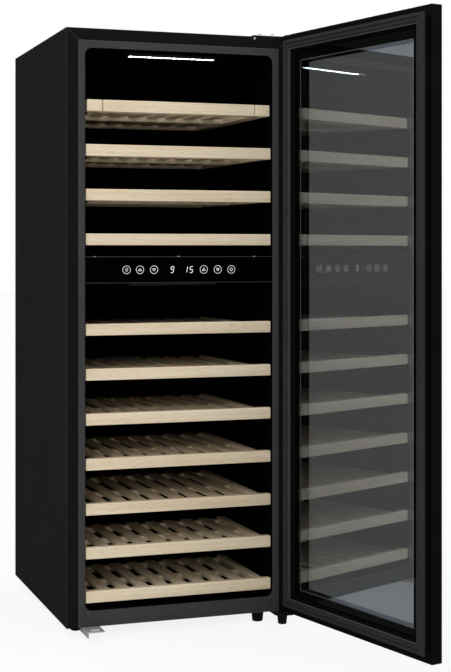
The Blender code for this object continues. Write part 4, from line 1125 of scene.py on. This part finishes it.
def rear_panel():
    """The zinc-plated sheet, with pressed ribs and a row of screws on both sides."""
    low, high = local_box("rear_panel")
    build = bmesh.new()
    add_block(build, low, high, 0.0002, 1)
    count = int((high.z - low.z - 2 * RIB_MARGIN) / RIB_PITCH) + 1
    start = (high.z + low.z) / 2 - (count - 1) * RIB_PITCH / 2
    for index in range(count):
        ends = (low.x + RIB_MARGIN, high.x - RIB_MARGIN)
        add_rib(build, ends, start + index * RIB_PITCH, high.y)
    for across in (low.x + 0.010, high.x - 0.010):
        for index in range(count + 1):
            height = start + (index - 0.5) * RIB_PITCH
            add_lathe(build, REAR_SCREW, (across, high.y + 0.0002, height), "Y", 20, 1)
    surfaces, nodes = [ZINC, BRIGHT_STEEL], ("rear_panel",)
    place_piece("rear_sheet", build, surfaces, "cabinet", nodes)


def add_rib(build, ends, height, face):
    """A low pressed rib with rounded ends on the rear sheet."""
    left, right = ends
    part = bmesh.new()
    rings = []
    levels = ((RIB_RADIUS, face - 0.0004), (0.0070, face + 0.0004), (0.0045, face + 0.0009))
    for half, level in levels:
        points = arc((right - RIB_RADIUS, height), half, -90, 90, 8)
        points += arc((left + RIB_RADIUS, height), half, 90, 270, 8)
        rings.append([part.verts.new((x, level, z)) for x, z in points])
    close_stack(part, rings)
    add_part(build, part)


def machine_room():
    """The compressor cover with a strip at each of its sides, and all that is behind it."""
    low, high = local_box("compressor_cover")

    def cover_detail(build):
        for across in (low.x + 0.012, MIDDLE, high.x - 0.012):
            for height in (low.z + 0.010, high.z - 0.010):
                add_lathe(build, COVER_SCREW, (across, high.y - 0.0001, height), "Y", 20, 1)
        return [BRIGHT_STEEL]

    node_piece("compressor_cover", SIDE_PAINT, 0.0004, 2, detail=cover_detail)
    rear_low, rear_high = local_box("rear_panel")
    build = bmesh.new()
    reach = low.x + 0.0005
    for left, right in ((rear_low.x, reach), (WIDTH - reach, rear_high.x)):
        near, far = (left, rear_low.y, 0.0015), (right, rear_high.y, rear_low.z - GAP)
        add_block(build, near, far, 0.0003, 2)
        across = (left + right) / 2 + math.copysign(0.006, MIDDLE - left)
        for height in (0.030, rear_low.z - 0.030):
            add_lathe(build, STRIP_SCREW, (across, rear_high.y - 0.0001, height), "Y", 20, 1)
    surfaces = [SIDE_PAINT, BRIGHT_STEEL]
    place_piece("rear_corner_strips", build, surfaces, "cabinet")
    node_piece("mains_inlet", MOULDED, 0.0006, 2, detail=inlet_detail)
    compressor()
    condenser()
    for node in ("fan_upper", "fan_lower", "condenser_fan"):
        node_piece(node, MOULDED, 0.0005, 2)
    node_piece("duct_cover", DUCT_BLACK, 0.0006, 2)
    for node in ("evaporator_upper", "evaporator_lower"):
        fins(node)


def inlet_detail(build):
    """Three flat pins inside the socket."""
    low, high = local_box("mains_inlet")
    middle = (low + high) / 2
    for across, height in ((-0.0070, -0.002), (0.0070, -0.002), (0.0, 0.0025)):
        x, z = middle.x + across, middle.z + height
        near = (x - 0.0010, low.y + 0.003, z - 0.0020)
        far = (x + 0.0010, high.y - 0.0045, z + 0.0020)
        add_block(build, near, far, 0.0003, 2, 1)
    return [BRIGHT_STEEL]


GROMMET = (
    *((0.0, 0.0), (0.0105, 0.0), (0.0105, 0.0030), (0.0085, 0.0040), (0.0080, 0.0080)),
    *((0.0095, 0.0090), (0.0095, 0.0120), (0.0045, 0.0130), (0.0045, 0.0160), (0.0, 0.0160)),
)
SEAM = 0.52
# The compressor's shell, from its foot to its crown, as shares of its radius and its height.
SHELL = (
    *((0.0, 0.012), (0.55, 0.012), (0.86, 0.05), (0.97, 0.10), (0.985, 0.16)),
    *((0.985, SEAM - 0.02), (1.0, SEAM - 0.012), (1.0, SEAM + 0.012), (0.975, SEAM + 0.02)),
    *((0.972, 0.80), (0.94, 0.87), (0.86, 0.925), (0.55, 0.985), (0.0, 1.0)),
)
SHELL_RADIUS, FOOT_PLATE = 0.068, 0.004


def compressor():
    """A welded shell with a terminal box, on a plate that stands on four rubber grommets."""
    low, high = local_box("compressor")
    middle = (low + high) / 2
    build = bmesh.new()
    plate_top = low.z + FOOT_PLATE
    base = plate_top - 0.0005
    reach = (high.x - low.x) / 2 - 0.013
    for across in (-1, 1):
        for along in (-1, 1):
            centre = (middle.x + across * reach, middle.y + along * 0.058, base)
            add_lathe(build, GROMMET, centre, "Z", 24, 1)
    add_block(build, low, (high.x, high.y, plate_top), 0.0008, 2)
    profile = [(out * SHELL_RADIUS, up * (high.z - base)) for out, up in SHELL]
    add_lathe(build, profile, (middle.x, middle.y, base), "Z", 64)
    left = middle.x - SHELL_RADIUS
    near = (left - 0.007, middle.y - 0.026, plate_top + 0.045)
    far = (left + 0.014, middle.y + 0.026, plate_top + 0.100)
    add_block(build, near, far, 0.004, 3, 1)
    surfaces, nodes = [MACHINE, MOULDED], ("compressor",)
    place_piece("compressor_look", build, surfaces, "cabinet", nodes)


def fins(node):
    """Thin fins on tubes that run across them, between two end plates."""
    low, high = local_box(node)
    build = bmesh.new()
    margin = 0.012
    count = int((high.x - low.x - 2 * margin) / FIN_PITCH)
    start = (low.x + high.x) / 2 - (count - 1) * FIN_PITCH / 2
    for index in range(count):
        middle = start + index * FIN_PITCH
        near = (middle - FIN_THICKNESS / 2, low.y + 0.0005, low.z)
        add_block(build, near, (middle + FIN_THICKNESS / 2, high.y, high.z))
    rows = max(2, int((high.z - low.z) / TUBE_PITCH))
    length = high.x - low.x - 0.004
    tube = ((0.0, 0.0), (TUBE_RADIUS, 0.0), (TUBE_RADIUS, length), (0.0, length))
    for row in range(rows):
        height = low.z + (row + 0.5) * (high.z - low.z) / rows
        add_lathe(build, tube, (low.x + 0.002, (low.y + high.y) / 2, height), "X", 14, 1)
    for across in (low.x + 0.008, high.x - 0.008):
        near, far = (across - 0.0006, low.y, low.z), (across + 0.0006, high.y, high.z)
        add_block(build, near, far, 0.0002, 1)
    place_piece(node + "_look", build, [FINS, COPPER], "cabinet", (node,))


def condenser():
    """The finned block with its shroud, and the ends of its tubes at both sides."""

    def detail(build):
        low, high = local_box("condenser")
        middle = high.y - CONDENSER_BACK
        rows, reach = 5, 0.0035
        end = ((0.0, -reach), (TUBE_RADIUS, -reach), (TUBE_RADIUS, reach), (0.0, reach))
        for row in range(rows):
            height = low.z + (row + 0.5) * (high.z - low.z) / rows
            for across in (low.x + 0.0005, high.x - 0.0005):
                add_lathe(build, end, (across, middle, height), "X", 14, 1)
        return [COPPER]

    node_piece("condenser", FINS, 0.0004, 1, detail=detail)


# --- All ---

add_world()
add_floor()
add_lights()
add_camera()
plain_nodes()
casing_sides()
casing_top()
liner()
kick_panel()
rails_and_trays()
control_panel()
lamps()
door()
hinges()
feet()
rear_panel()
machine_room()
